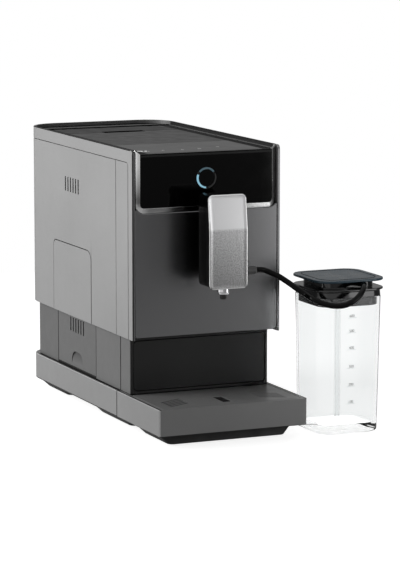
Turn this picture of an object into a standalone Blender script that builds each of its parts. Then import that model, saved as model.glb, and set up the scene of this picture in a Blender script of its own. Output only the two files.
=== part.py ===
"""A slim espresso machine with a built-in grinder, its drip tray drawer, a height-adjustable
spout and a milk jug on a hose. Metres, +Z up. The front faces -Y. The origin is on the worktop,
in the machine's middle plane, below the front face of the upper housing."""

import math

import bmesh
import bpy
from mathutils import Vector

# Gaps between pieces
FIT = 0.0003
SEAM = 0.0006
OVERRUN = 0.004
WELD = 0.0008
SKIN = 0.0002
EDGE = 0.0007
ARC_STEPS = 5

# Overall sizes
HALF_WIDTH = 0.090
DEPTH = 0.345
REAR_CORNER = 0.035
WALL = 0.003
INSIDE = HALF_WIDTH - WALL

# Heights of the body, from the worktop up
SKIRT_BOTTOM = 0.0145
SKIRT_HEIGHT = 0.0301
SKIRT_TOP = SKIRT_BOTTOM + SKIRT_HEIGHT
LOWER_HEIGHT = 0.0647
HOUSING_BOTTOM = SKIRT_TOP + LOWER_HEIGHT
BASE_TOP = SKIRT_BOTTOM - FIT

# Brew group
BREW_LIFT = 0.0878
BREW_HEIGHT = 0.0540
BREW_ROOM = 0.0080
BREW_BOTTOM = BASE_TOP + BREW_LIFT
BREW_TOP = BREW_BOTTOM + BREW_HEIGHT
BREW_BORE = 0.0225
BREW_CYLINDER_WALL = 0.0035
BREW_BACK_THICK = 0.0050
BREW_FOOT_THICK = 0.0060
PISTON_CLEARANCE = 0.0005
PISTON_HEIGHT = 0.0120
PISTON_ROD = 0.0070
PISTON_STEP = 0.0040
PISTON_REST = BREW_BOTTOM + PISTON_STEP
PISTON_TRAVEL = 0.0240
ARM_THICK = 0.0070
ARM_HALF = 0.0090
SPINDLE_RADIUS = 0.0040
SPINDLE_REACH = 0.0340
BREW_MOTOR_RADIUS = 0.0120
BREW_MOTOR_HEIGHT = 0.0300

# Grinder, stacked on the shelf over the brew group
SHELF_THICK = 0.0040
SHELF_TOP = BREW_TOP + BREW_ROOM + SHELF_THICK
MOTOR_STAND = 0.0070
MOTOR_RADIUS = 0.0250
MOTOR_HEIGHT = 0.0500
MOTOR_ROOM = 0.0010
MOTOR_BOTTOM = SHELF_TOP + MOTOR_STAND
MOTOR_TOP = MOTOR_BOTTOM + MOTOR_HEIGHT
GRINDER_HOUSING_HEIGHT = 0.0417
GRINDER_HOUSING_RADIUS = 0.0330
GRINDER_HOUSING_BOTTOM = MOTOR_TOP + MOTOR_ROOM
GRINDER_BORE = 0.0240
RING_HEIGHT_SIZE = 0.0080
RING_GRIP_RADIUS = 0.0225
RING_BORE = 0.0165
BURR_OUTER = 0.0230
UPPER_BURR_HEIGHT = 0.0100
LOWER_BURR_RADIUS = 0.0170
LOWER_BURR_HEIGHT = 0.0130
SHAFT_RADIUS = 0.0035
CHUTE_WIDTH = 0.0180
CHUTE_DEPTH = 0.0160
THROAT_RADIUS = 0.0235
HOPPER_THROAT_TOP = GRINDER_HOUSING_BOTTOM + GRINDER_HOUSING_HEIGHT + FIT + RING_HEIGHT_SIZE
FUNNEL_HEIGHT = 0.0200
HOPPER_SHOULDER = HOPPER_THROAT_TOP + FUNNEL_HEIGHT
HOPPER_RIM = 0.0155
HOPPER_WALL = 0.0022
LIP = 0.0020
SEAL_HEIGHT = 0.0024

# Top deck, lids and rim
DECK_THICK = 0.0030
DECK_FRONT = 0.0065
DECK_BOTTOM = HOPPER_SHOULDER + HOPPER_RIM
DECK_TOP = DECK_BOTTOM + DECK_THICK
LID_THICK = 0.0030
LID_TOP = DECK_TOP + FIT + LID_THICK
LID_CORNER = 0.003
RIM_STEP = 0.0041
TOP_HEIGHT = LID_TOP + RIM_STEP
RECESS_INSET = 0.0074
RECESS_HALF = HALF_WIDTH - RECESS_INSET
FINGER_HALF = 0.0260
FINGER_DEPTH = 0.0030
FINGER_FLOOR = 0.0010

# Upper housing
BAND_HEIGHT = 0.014
BAND_BOTTOM = TOP_HEIGHT - BAND_HEIGHT
LEG_DEPTH = 0.0125
LEG_CORNER = 0.005
BROW_CORNER = 0.005
STRIP_REAR = 0.0490
VENT_COUNT = 6
VENT_PITCH = 0.0083
VENT_WIDTH = 0.0032
VENT_HEIGHT = 0.0170
VENT_DROP = 0.0354
VENT_HIGH = BAND_BOTTOM - VENT_DROP
VENT_LOW = VENT_HIGH - VENT_HEIGHT

# Places along the depth, from the rear forwards
LEDGE_DEPTH = 0.0387
RECESS_REAR = DEPTH - LEDGE_DEPTH
LID_REAR_GAP = 0.0020
TANK_LID_REAR = RECESS_REAR - LID_REAR_GAP
TANK_REAR_INSET = 0.0013
TANK_REAR = TANK_LID_REAR - TANK_REAR_INSET
TANK_DEPTH = 0.0500
TANK_FRONT = TANK_REAR - TANK_DEPTH
BULKHEAD_THICK = 0.0030
BULKHEAD_ROOM = 0.0060
MID_BULKHEAD = TANK_FRONT - BULKHEAD_ROOM - BULKHEAD_THICK
HOPPER_ROOM = 0.0040
HOPPER_REAR = MID_BULKHEAD - HOPPER_ROOM
BEAN_LID_OVERLAP = 0.0095
BEAN_LID_REAR = HOPPER_REAR + BEAN_LID_OVERLAP
TANK_LID_FRONT = BEAN_LID_REAR + SEAM
PANEL_REAR = 0.1020
HOPPER_SETBACK = 0.0100
HOPPER_FRONT = PANEL_REAR + HOPPER_SETBACK
HOPPER_INSET = 0.0066
HOPPER_HALF = RECESS_HALF - HOPPER_INSET
GRINDER_X = -0.0200
GRINDER_Y = (HOPPER_FRONT + HOPPER_REAR) / 2
BULKHEAD_FRONT = 0.0140
FRAME_ROOM = 0.0010
FRAME_HALF = INSIDE - FRAME_ROOM

# Service door in the left side
DOOR_LENGTH = 0.1225
DOOR_SETBACK = 0.0058
DOOR_REAR = MID_BULKHEAD + DOOR_SETBACK
DOOR_FRONT = DOOR_REAR - DOOR_LENGTH
VENT_SETBACK = 0.0400
VENT_FIRST = DOOR_FRONT + VENT_SETBACK
DOOR_RISE = 0.0837
DOOR_TOP = HOUSING_BOTTOM + DOOR_RISE
DOOR_STEP = 0.0026
DOOR_BOTTOM = SKIRT_TOP + DOOR_STEP
DOOR_CORNER_FRONT = 0.012
DOOR_CORNER_REAR = 0.007
DOOR_GAP = 0.0010
DOOR_WALL = 0.003
DOOR_VENT_DROP = 0.0040
DOOR_VENT_HEIGHT = 0.0167
DOOR_VENT_HIGH = HOUSING_BOTTOM - DOOR_VENT_DROP
DOOR_VENT_LOW = DOOR_VENT_HIGH - DOOR_VENT_HEIGHT
GRIP_OFFSET = 0.0427
GRIP_LENGTH = 0.0360
GRIP_FRONT = DOOR_FRONT + GRIP_OFFSET
GRIP_REAR = GRIP_FRONT + GRIP_LENGTH
GRIP_STEP = 0.0030
GRIP_LOW = DOOR_BOTTOM + GRIP_STEP
GRIP_HEIGHT = 0.0155
GRIP_TOP = GRIP_LOW + GRIP_HEIGHT
GRIP_DEPTH = 0.0020
GRIP_CORNER = 0.012
HOOK_WIDTH = 0.010
HOOK_RISE = 0.004
HOOK_THICK = 0.0016
HOOK_INSET = 0.016

# Lower body
LOWER_INSET = 0.0056
LOWER_HALF = HALF_WIDTH - LOWER_INSET
LOWER_FRONT = 0.0206
LOWER_BLOCK_REAR = 0.0500
SKIRT_INSET = 0.0005
SKIRT_HALF = HALF_WIDTH - SKIRT_INSET
FLANGE_WIDTH = 0.011
FLANGE_THICK = 0.0018

# Black base under the skirt, with its feet
BASE_INSET = 0.0090
BASE_HALF = HALF_WIDTH - BASE_INSET
BASE_FOOT_INSET = 0.0105
BASE_FOOT_HALF = BASE_HALF - BASE_FOOT_INSET
BASE_PLATE = 0.0040
BASE_TONGUE = -0.0560
FOOT_PAD = 0.0012
FOOT_TOP = FOOT_PAD + FIT
FOOT_SLOPE = 0.0060
FOOT_LENGTH = 0.0740
MIDDLE_FOOT_LENGTH = 0.0950
FRONT_FOOT = -0.0580
MIDDLE_FOOT = 0.0530
REAR_FOOT_INSET = 0.0180
REAR_FOOT = DEPTH - REAR_FOOT_INSET - FOOT_LENGTH
FOOT_PLACES = (
    ("front", FRONT_FOOT, FRONT_FOOT + FOOT_LENGTH),
    ("middle", MIDDLE_FOOT, MIDDLE_FOOT + MIDDLE_FOOT_LENGTH),
    ("rear", REAR_FOOT, REAR_FOOT + FOOT_LENGTH),
)
PAD_INSET = 0.012
PAD_DEPTH = 0.024

# Front of the upper housing
COVER_HALF = INSIDE - FIT
COVER_LIFT = 0.0023
COVER_BOTTOM = HOUSING_BOTTOM + COVER_LIFT
COVER_THICK = 0.0030
COVER_CORNER = 0.004
TRIM_OUTER = COVER_HALF - SEAM
TRIM_LEG = 0.0061
TRIM_INNER = TRIM_OUTER - TRIM_LEG
PANEL_HEIGHT = 0.0660
TRIM_BOTTOM = LID_TOP - PANEL_HEIGHT
TRIM_BAND = 0.0054
TRIM_DEPTH = 0.0060
TRIM_CORNER = 0.010
HORN_TURN = 37
PANEL_FACE = 0.0003
PANEL_THICK = 0.0030
PANEL_TOP_HALF = RECESS_HALF - FIT
RING_DROP = 0.0296
RING_HEIGHT = LID_TOP - RING_DROP
RING_OUTER = 0.0122
RING_INNER = 0.0096
RING_PROUD = 0.0002
RING_DEPTH = 0.0016

# Heater, pump and boards on the right
HEATER_LEFT = 0.0100
HEATER_WIDTH = 0.0620
HEATER_RIGHT = HEATER_LEFT + HEATER_WIDTH
HEATER_ROOM = 0.0120
HEATER_REAR = MID_BULKHEAD - HEATER_ROOM
HEATER_LENGTH = 0.0920
HEATER_FRONT = HEATER_REAR - HEATER_LENGTH
HEATER_HEIGHT = 0.0680
HEATER_BOTTOM = SHELF_TOP - SHELF_THICK - HEATER_HEIGHT
HEATER_FIN = 0.0030
HEATER_FINS = 7
HEATER_GROOVE = 0.0120
PUMP_X = 0.0480
PUMP_LIFT = 0.0563
PUMP_HEIGHT = BASE_TOP + PUMP_LIFT
PUMP_RADIUS = 0.0175
PUMP_SETBACK = 0.0100
PUMP_FRONT = HEATER_FRONT + PUMP_SETBACK
PUMP_LENGTH = 0.0620
PUMP_CHEEK = 0.0040
PUMP_NOSE = 0.0060
BOARD_HALF_X = 0.0600
BOARD_DROP = 0.0118
BOARD_TOP = LID_TOP - BOARD_DROP
BOARD_HEIGHT = 0.0460
BOARD_BOTTOM = BOARD_TOP - BOARD_HEIGHT
BOARD_THICK = 0.0016
BOARD_PARTS_HEIGHT = 0.0050
BOARD_STAND_OFF = 0.0014
CHIP_SHARES = (-0.7, -0.2, 0.45)
POST_SHARES = (-0.9, 0.9)
POWER_HEIGHT = 0.0820
POWER_LIFT = 0.0120
POWER_BOTTOM = SHELF_TOP + POWER_LIFT
POWER_TOP = SHELF_TOP + POWER_HEIGHT
POWER_FRONT = 0.1100
POWER_REAR = MID_BULKHEAD - BULKHEAD_FRONT
POWER_PART_SIZE = 0.0150
POWER_PART_HEIGHT = 0.0200
POWER_PART_SHARES = (0.15, 0.45, 0.75)

# Brew group's axis
BREW_SETBACK = 0.0507
BREW_X = -0.0460
BREW_Y = DOOR_FRONT + BREW_SETBACK

# Water tank at the rear
TANK_SIDE_ROOM = 0.0085
TANK_HALF = INSIDE - TANK_SIDE_ROOM
TANK_CORNER = 0.008
TANK_HEIGHT = 0.1725
TANK_TOP_ROOM = 0.0010
TANK_TOP = DECK_BOTTOM - TANK_TOP_ROOM
TANK_BOTTOM = TANK_TOP - TANK_HEIGHT
TANK_WALL = 0.0022
TANK_FLOOR = 0.0030
TANK_SPIGOT = 0.0070
TANK_SPIGOT_DROP = 0.0080
TANK_SPIGOT_X = 0.0400
SEAT_THICK = 0.0060
SEAT_CUP = 0.0110
PIN_RADIUS = 0.0007
PIN_CLEARANCE = 0.00008
PIN_PROUD = 0.0030
EAR_X = 0.0560
EAR_LENGTH = 0.0050
EAR_STEP = 0.0003

# Mains inlet, low on the rear
INLET_INSET = 0.0420
INLET_X = INSIDE - INLET_INSET
INLET_LIFT = 0.0314
INLET_HEIGHT = SKIRT_TOP + INLET_LIFT
INLET_HALF_WIDTH = 0.0140
INLET_HALF_HEIGHT = 0.0110
INLET_BEZEL = 0.0035
INLET_DEPTH = 0.0170
INLET_WALL = 0.0022
BLADE_THICK = 0.0020
BLADE_HEIGHT = 0.0040
BLADE_LENGTH = 0.0120
BLADE_SPREAD = 0.0070
BLADE_SHARES = ((-1, -0.25), (0, 0.4), (1, -0.25))
SCREW_HEAD = 0.0034
SCREW_SHANK = 0.0014
SCREW_LENGTH = 0.0080
SCREW_SPREAD = 0.0260

# Drip tray drawer
TRAY_FRONT = -0.0758
TRAY_WALL = 0.0028
TRAY_CORNER = 0.003
TRAY_RIM = 0.0050
BASIN_INSET = 0.0095
BASIN_HALF = SKIRT_HALF - BASIN_INSET
BASIN_REAR = DOOR_FRONT - FIT
BASIN_FLOOR = 0.0025
BASIN_WALL = 0.0020
BASIN_TOP_DROP = 0.0046
BASIN_TOP = SKIRT_TOP - BASIN_TOP_DROP
GRATE_THICK = 0.0030
GRATE_REAR = 0.0180
GRATE_CORNER = 0.002
SLIT_INSET = 0.0185
SLIT_LENGTH = 0.0280
SLIT_FAR = SKIRT_HALF - SLIT_INSET
SLIT_NEAR = SLIT_FAR - SLIT_LENGTH
SLIT_FRONT = -0.0620
SLIT_REAR = -0.0230
SLIT_COUNT = 5
SLIT_WIDTH = 0.0030
FLOAT_HALF_X = 0.0045
FLOAT_FRONT = -0.0570
FLOAT_REAR = -0.0280
FLOAT_CLEARANCE = 0.0008
FLOAT_LIFT = 0.0060
FLOAT_PROUD = 0.0006
GRATE_LIFT_LEG = 0.0060
CONTAINER_INSET = 0.0060
CONTAINER_HALF = BASIN_HALF - CONTAINER_INSET
CONTAINER_ROOM = 0.0030
CONTAINER_REAR = BASIN_REAR - CONTAINER_ROOM
CONTAINER_DROP = 0.0053
CONTAINER_TOP = HOUSING_BOTTOM - CONTAINER_DROP
CONTAINER_WALL = 0.0022
CONTAINER_CORNER = 0.010
CONTAINER_TAPER = 0.0040
RUNNER_THICK = 0.0016
DRAWER_PANEL_INSET = 0.0034
DRAWER_PANEL_HALF = LOWER_HALF - DRAWER_PANEL_INSET
DRAWER_PANEL_LOW_INSET = 0.0034
DRAWER_PANEL_HIGH_INSET = 0.0038
DRAWER_PANEL_BOTTOM = SKIRT_TOP + DRAWER_PANEL_LOW_INSET
DRAWER_PANEL_TOP = HOUSING_BOTTOM - DRAWER_PANEL_HIGH_INSET
DRAWER_PANEL_THICK = 0.0024
DRAWER_CORNER = 0.005

# Spout
SPOUT_HALF = 0.0230
SPOUT_FACE = -0.0605
SPOUT_DROP = 0.0423
SPOUT_LENGTH = 0.1045
SPOUT_TOP = LID_TOP - SPOUT_DROP
SPOUT_BOTTOM = SPOUT_TOP - SPOUT_LENGTH
SPOUT_CORNER = 0.0055
SPOUT_PLATE = 0.0026
SPOUT_RIM = 0.0022
SPOUT_RIM_DEPTH = 0.0010
SPOUT_BEND_DROP = 0.0385
SPOUT_BEND = SPOUT_TOP - SPOUT_BEND_DROP
SPOUT_LEAN = 0.0050
SPOUT_BODY_HALF = 0.0212
SPOUT_BODY_INSET = 0.0008
SPOUT_SPLIT = -0.0470
SPOUT_REAR = -0.0200
SPOUT_REAR_CORNER = 0.0050
NECK_HALF = 0.0060
NECK_LIFT = 0.0450
NECK_HEIGHT = 0.0300
NECK_BOTTOM = SPOUT_BOTTOM + NECK_LIFT
NECK_TOP = NECK_BOTTOM + NECK_HEIGHT
NECK_CLEARANCE = 0.0006
SLIDER_HALF = 0.0150
SLIDER_FRONT = 0.0040
SLIDER_REAR = 0.0128
SPOUT_TRAVEL = 0.0450
RAIL_WIDTH = 0.0040
RIB_COUNT = 4
RIB_PITCH = 0.0046
RIB_LIFT = 0.0330
RIB_FIRST = SPOUT_BOTTOM + RIB_LIFT
RIB_PROUD = 0.0007
NOZZLE_X = -0.0010
NOZZLE_Y = -0.0480
NOZZLE_RADIUS = 0.0072
NOZZLE_HEIGHT = 0.0075
TIP_RADIUS = 0.0036
TIP_HEIGHT = 0.0055
TIP_BORE = 0.0022
CATCH_FRONT = -0.0570
CATCH_REAR = -0.0520
CATCH_LIFT = 0.0275
CATCH_HEIGHT = 0.0040
CATCH_LOW = SPOUT_BOTTOM + CATCH_LIFT
CATCH_HIGH = CATCH_LOW + CATCH_HEIGHT
CATCH_REACH = 0.0040
COLLAR_Y = -0.0420
COLLAR_LIFT = 0.0166
COLLAR_Z = SPOUT_BOTTOM + COLLAR_LIFT
COLLAR_RADIUS = 0.0046
COLLAR_LENGTH = 0.0201
COLLAR_WASHER = 0.0050
COLLAR_WASHER_THICK = 0.0025

# Milk hose, its route chosen along what it hangs in front of
HOSE_RADIUS = 0.0032
HOSE_POINTS = (
    (0.0415, -0.0420, 0.1876),
    (0.0477, -0.0420, 0.1875),
    (0.0540, -0.0423, 0.1859),
    (0.0650, -0.0465, 0.1807),
    (0.0740, -0.0532, 0.1742),
    (0.0809, -0.0621, 0.1679),
    (0.0881, -0.0709, 0.1618),
    (0.0920, -0.0825, 0.1577),
    (0.0989, -0.0927, 0.1537),
    (0.1093, -0.0999, 0.1512),
    (0.1216, -0.1041, 0.1519),
    (0.1335, -0.1044, 0.1568),
    (0.1437, -0.0996, 0.1634),
    (0.1509, -0.0904, 0.1681),
    (0.1538, -0.0846, 0.1689),
    (0.1569, -0.0794, 0.1690),
    (0.1594, -0.0749, 0.1690),
)
HOSE_SPACING = 0.0128

# Milk jug beside the machine
JUG_GAP = 0.0130
JUG_Y = -0.0400
JUG_FOOT_HALF = 0.0380
JUG_TOP_HALF = 0.0410
JUG_X = HALF_WIDTH + JUG_GAP + JUG_TOP_HALF
JUG_FOOT_CORNER = 0.0180
JUG_TOP_CORNER = 0.0200
JUG_HEIGHT = 0.1550
JUG_WALL = 0.0025
JUG_BASE = 0.0100
JUG_SKIRT_DROP = 0.0100
JUG_COLLAR_RISE = 0.0070
JUG_COLLAR_TOP = JUG_HEIGHT + JUG_COLLAR_RISE
JUG_FLANGE_HALF = 0.0430
JUG_FLANGE_THICK = 0.0030
JUG_NECK_HALF = 0.0330
JUG_NECK_CORNER = 0.0150
JUG_NECK_HEIGHT = 0.0077
JUG_CAP_THICK = 0.0028
JUG_CAP_HALF_X = 0.0425
JUG_CAP_HALF_Y = 0.0440
JUG_CAP_CORNER = 0.0200
JUG_SOCKET_RADIUS = 0.0130
JUG_SOCKET_DEPTH = 0.0080
JUG_SPIGOT_CLEARANCE = 0.0006
PICKUP_RADIUS = 0.0032
PICKUP_BORE = 0.0018
PICKUP_FOOT = 0.0040

NECK_BASE_Z = JUG_COLLAR_TOP + JUG_FLANGE_THICK


def clear_scene():
    for item in list(bpy.data.objects):
        bpy.data.objects.remove(item, do_unlink=True)


def linear(part):
    return ((part + 0.055) / 1.055) ** 2.4 if part > 0.04045 else part / 12.92


def finish(item, tone, roughness=0.5, metallic=0.0, alpha=1.0):
    """Gives the object a material of its own, from a tone in screen values between 0 and 1."""
    made = bpy.data.materials.new(item.name)
    made.use_nodes = True
    shader = made.node_tree.nodes["Principled BSDF"]
    shader.inputs["Base Color"].default_value = [linear(part) for part in tone] + [1.0]
    shader.inputs["Roughness"].default_value = roughness
    shader.inputs["Metallic"].default_value = metallic
    shader.inputs["Alpha"].default_value = alpha
    item.data.materials.append(made)
    return item


def made_object(name, shape, smooth=True):
    bmesh.ops.recalc_face_normals(shape, faces=shape.faces)
    mesh = bpy.data.meshes.new(name)
    shape.to_mesh(mesh)
    shape.free()
    item = bpy.data.objects.new(name, mesh)
    bpy.context.scene.collection.objects.link(item)
    if smooth:
        mesh.shade_smooth()
        mesh.set_sharp_from_angle(angle=math.radians(32))
    return item


def loft(name, loops, ring=False):
    """Skins closed loops of equal counts. The ends are capped, or joined to each other in a ring."""
    shape = bmesh.new()
    rows = [[shape.verts.new(point) for point in loop] for loop in loops]
    pairs = list(zip(rows, rows[1:]))
    if ring:
        pairs.append((rows[-1], rows[0]))
    for low, high in pairs:
        for index in range(len(low)):
            follow = (index + 1) % len(low)
            shape.faces.new((low[index], low[follow], high[follow], high[index]))
    if not ring:
        shape.faces.new(rows[0])
        shape.faces.new(rows[-1])
    return made_object(name, shape)


def arc(centre_u, centre_v, radius, start, end, steps=ARC_STEPS):
    """Points on an arc, with angles in degrees."""
    found = []
    for step in range(steps + 1):
        turn = math.radians(start + (end - start) * step / steps)
        found.append((centre_u + radius * math.cos(turn), centre_v + radius * math.sin(turn)))
    return found


def rounded(low_u, high_u, low_v, high_v, corners):
    """A rectangle's outline with round corners: at its low-low, high-low, high-high and low-high ends."""
    if not isinstance(corners, tuple):
        corners = (corners,) * 4
    places = (
        (low_u, low_v, 1, 1, 180),
        (high_u, low_v, -1, 1, 270),
        (high_u, high_v, -1, -1, 0),
        (low_u, high_v, 1, -1, 90),
    )
    outline = []
    for (u, v, way_u, way_v, start), radius in zip(places, corners):
        if radius > 0:
            outline += arc(u + way_u * radius, v + way_v * radius, radius, start, start + 90)
        else:
            outline.append((u, v))
    return outline


def level(outline, height):
    return [(u, v, height) for u, v in outline]


def facing_x(outline, place):
    return [(place, u, v) for u, v in outline]


def facing_y(outline, place):
    return [(u, place, v) for u, v in outline]


def slab(name, outline, low, high, lay=level):
    return loft(name, [lay(outline, low), lay(outline, high)])


def block(name, low_x, high_x, low_y, high_y, low_z, high_z):
    return slab(name, rounded(low_x, high_x, low_y, high_y, 0), low_z, high_z)


def eased(name, sides, corner, low, high, lay=level, edge=EDGE):
    """A slab with round corners and a small chamfer all round both faces."""
    low_u, high_u, low_v, high_v = sides
    full = rounded(low_u, high_u, low_v, high_v, corner)
    inner = rounded(low_u + edge, high_u - edge, low_v + edge, high_v - edge, max(corner - edge, edge / 2))
    return loft(name, [lay(inner, low), lay(full, low + edge), lay(full, high - edge), lay(inner, high)])


def hoop(name, outer, inner, low, high, lay=level):
    return loft(name, [lay(outer, low), lay(outer, high), lay(inner, high), lay(inner, low)], ring=True)


def box_outline(centre_x, centre_y, half_x, half_y, corner):
    return rounded(centre_x - half_x, centre_x + half_x, centre_y - half_y, centre_y + half_y, corner)


def turned(name, profile, centre, lay=level, steps=24, ring=False):
    """A solid of revolution through (radius, place) points, about an axis through centre."""
    loops = []
    for radius, place in profile:
        circle = arc(centre[0], centre[1], radius, 0, 360 - 360 / steps, steps - 1)
        loops.append(lay(circle, place))
    return loft(name, loops, ring)


def as_tool(item):
    item.hide_render = True
    item.display_type = "WIRE"
    return item


def combine(item, other, operation="DIFFERENCE"):
    """Cuts the other shape from the item, or adds it to the item."""
    as_tool(other)
    change = item.modifiers.new(other.name, "BOOLEAN")
    change.operation = operation
    change.object = other
    return item


def add(item, *others):
    for other in others:
        combine(item, other, "UNION")
    return item


def cut(item, *others):
    for other in others:
        combine(item, other)
    return item


def u_wall(half, front, rear, corner, wall):
    """Outline of a wall down both sides and round the rear, open at the front."""
    outer = [(-half, front)] + arc(-half + corner, rear - corner, corner, 180, 90)
    outer += arc(half - corner, rear - corner, corner, 90, 0) + [(half, front)]
    inner_corner = corner - wall
    inner = [(half - wall, front)] + arc(half - corner, rear - corner, inner_corner, 0, 90)
    inner += arc(-half + corner, rear - corner, inner_corner, 90, 180) + [(-half + wall, front)]
    return outer + inner


def bars(name, first, pitch, count, width, low, high, start, end):
    """Upright bars in a row along Y, as one cutting shape."""
    shape = bmesh.new()
    for index in range(count):
        middle = first + pitch * index
        outline = rounded(middle - width / 2, middle + width / 2, low, high, 0)
        rows = [[shape.verts.new(point) for point in facing_x(outline, place)] for place in (start, end)]
        for step in range(4):
            follow = (step + 1) % 4
            shape.faces.new((rows[0][step], rows[0][follow], rows[1][follow], rows[1][step]))
        shape.faces.new(rows[0])
        shape.faces.new(rows[1])
    return made_object(name, shape, smooth=False)


def pivot(name, place):
    empty = bpy.data.objects.new(name, None)
    empty.location = place
    bpy.context.scene.collection.objects.link(empty)
    return empty


def carry(empty, *items):
    for item in items:
        item.parent = empty
        item.matrix_parent_inverse.translation = -empty.location
        for change in item.modifiers:
            change.object.parent = empty
            change.object.matrix_parent_inverse.translation = -empty.location


def brow(name):
    """Cutting shape that rounds the front top edge of the housing, seen from the side."""
    high = TOP_HEIGHT + OVERRUN
    outline = arc(BROW_CORNER, TOP_HEIGHT - BROW_CORNER, BROW_CORNER, 180, 90)
    outline += [(BROW_CORNER, high), (-OVERRUN, high), (-OVERRUN, TOP_HEIGHT - BROW_CORNER)]
    return slab(name, outline, -HALF_WIDTH - OVERRUN, HALF_WIDTH + OVERRUN, facing_x)


def make_top_frame():
    """Top band round the housing with a leg down each front edge."""
    wall = u_wall(HALF_WIDTH, 0, DEPTH, REAR_CORNER, WALL)
    frame = slab("top_frame", wall, HOUSING_BOTTOM, TOP_HEIGHT)
    below = rounded(LEG_DEPTH, DEPTH + OVERRUN, HOUSING_BOTTOM - OVERRUN, BAND_BOTTOM, (0, 0, 0, LEG_CORNER))
    cut(frame, slab("top_frame_cut", below, -HALF_WIDTH - OVERRUN, HALF_WIDTH + OVERRUN, facing_x))
    cut(frame, brow("top_frame_brow"))
    finish(frame, (0.66, 0.65, 0.61), 0.45)


def make_side_strip(side, way):
    """Narrow panel between the front leg and the side wall."""
    outline = rounded(
        LEG_DEPTH + SEAM, STRIP_REAR, HOUSING_BOTTOM, BAND_BOTTOM - SEAM, (0, 0, 0, LEG_CORNER - SEAM)
    )
    outer = way * HALF_WIDTH
    strip = slab("side_strip_" + side, outline, outer - way * WALL, outer, facing_x)
    finish(strip, (0.66, 0.65, 0.61), 0.45)


def door_outline(grow):
    """The service door's outline in Y and Z, grown by a gap for its opening."""
    return rounded(
        DOOR_FRONT - grow,
        DOOR_REAR + grow,
        DOOR_BOTTOM - grow,
        DOOR_TOP + grow,
        (0, 0, DOOR_CORNER_REAR + grow, DOOR_CORNER_FRONT + grow),
    )


def make_housing_shell():
    """Both sides and the rear of the upper housing, with its vents and the door's opening."""
    wall = u_wall(HALF_WIDTH, STRIP_REAR + SEAM, DEPTH, REAR_CORNER, WALL)
    shell = slab("housing_shell", wall, HOUSING_BOTTOM, BAND_BOTTOM - SEAM)
    outer = -HALF_WIDTH - OVERRUN
    inner = -INSIDE + OVERRUN
    row = (VENT_FIRST, VENT_PITCH, VENT_COUNT, VENT_WIDTH)
    vents = bars("shell_vents", *row, VENT_LOW, VENT_HIGH, outer, -outer)
    cut(shell, vents, slab("shell_door_cut", door_outline(DOOR_GAP), outer, inner, facing_x))
    finish(shell, (0.65, 0.64, 0.60), 0.45)


def make_service_door():
    """Stepped door over the brew group, with hooks at its top and a finger grip at its foot."""
    step_low = HOUSING_BOTTOM
    face = -HALF_WIDTH
    low_face = -LOWER_HALF
    section = [
        (low_face, DOOR_BOTTOM),
        (low_face, step_low),
        (face, step_low),
        (face, DOOR_TOP),
        (face + DOOR_WALL, DOOR_TOP),
        (face + DOOR_WALL, step_low + DOOR_WALL),
        (low_face + DOOR_WALL, step_low + DOOR_WALL),
        (low_face + DOOR_WALL, DOOR_BOTTOM),
    ]
    door = slab("service_door", section, DOOR_FRONT, DOOR_REAR, facing_y)
    trim = slab("door_corner_trim", door_outline(0), face - OVERRUN, low_face + DOOR_WALL + OVERRUN, facing_x)
    combine(door, trim, "INTERSECT")
    arch = rounded(GRIP_FRONT, GRIP_REAR, GRIP_LOW - OVERRUN, GRIP_TOP, (0, 0, GRIP_CORNER, GRIP_CORNER))
    hollow = slab("grip_hollow", arch, low_face - OVERRUN, low_face + GRIP_DEPTH, facing_x)
    slope = [
        (low_face - OVERRUN, GRIP_LOW),
        (low_face - OVERRUN, GRIP_TOP + OVERRUN),
        (low_face + GRIP_DEPTH + OVERRUN, GRIP_TOP + OVERRUN),
        (low_face + GRIP_DEPTH, GRIP_TOP),
        (low_face, GRIP_LOW),
    ]
    wedge = slab("grip_slope", slope, GRIP_FRONT - OVERRUN, GRIP_REAR + OVERRUN, facing_y)
    combine(hollow, wedge, "INTERSECT")
    cut(door, hollow)
    for middle in (DOOR_FRONT + HOOK_INSET, DOOR_REAR - HOOK_INSET):
        root = face + DOOR_WALL
        hook = [
            (root - WELD, DOOR_TOP - HOOK_RISE),
            (root + HOOK_THICK, DOOR_TOP - HOOK_RISE),
            (root + HOOK_THICK, DOOR_TOP + HOOK_RISE),
            (root + FIT, DOOR_TOP + HOOK_RISE),
            (root + FIT, DOOR_TOP - FIT),
            (root - WELD, DOOR_TOP - FIT),
        ]
        add(door, slab("door_hook", hook, middle - HOOK_WIDTH / 2, middle + HOOK_WIDTH / 2, facing_y))
    cut(
        door,
        bars(
            "door_vents",
            VENT_FIRST,
            VENT_PITCH,
            VENT_COUNT,
            VENT_WIDTH,
            DOOR_VENT_LOW,
            DOOR_VENT_HIGH,
            low_face - OVERRUN,
            low_face + DOOR_WALL + WELD,
        ),
    )
    finish(door, (0.56, 0.55, 0.52), 0.45)
    carry(pivot("door_pivot", (face + EDGE, (DOOR_FRONT + DOOR_REAR) / 2, DOOR_TOP - EDGE)), door)


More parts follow.
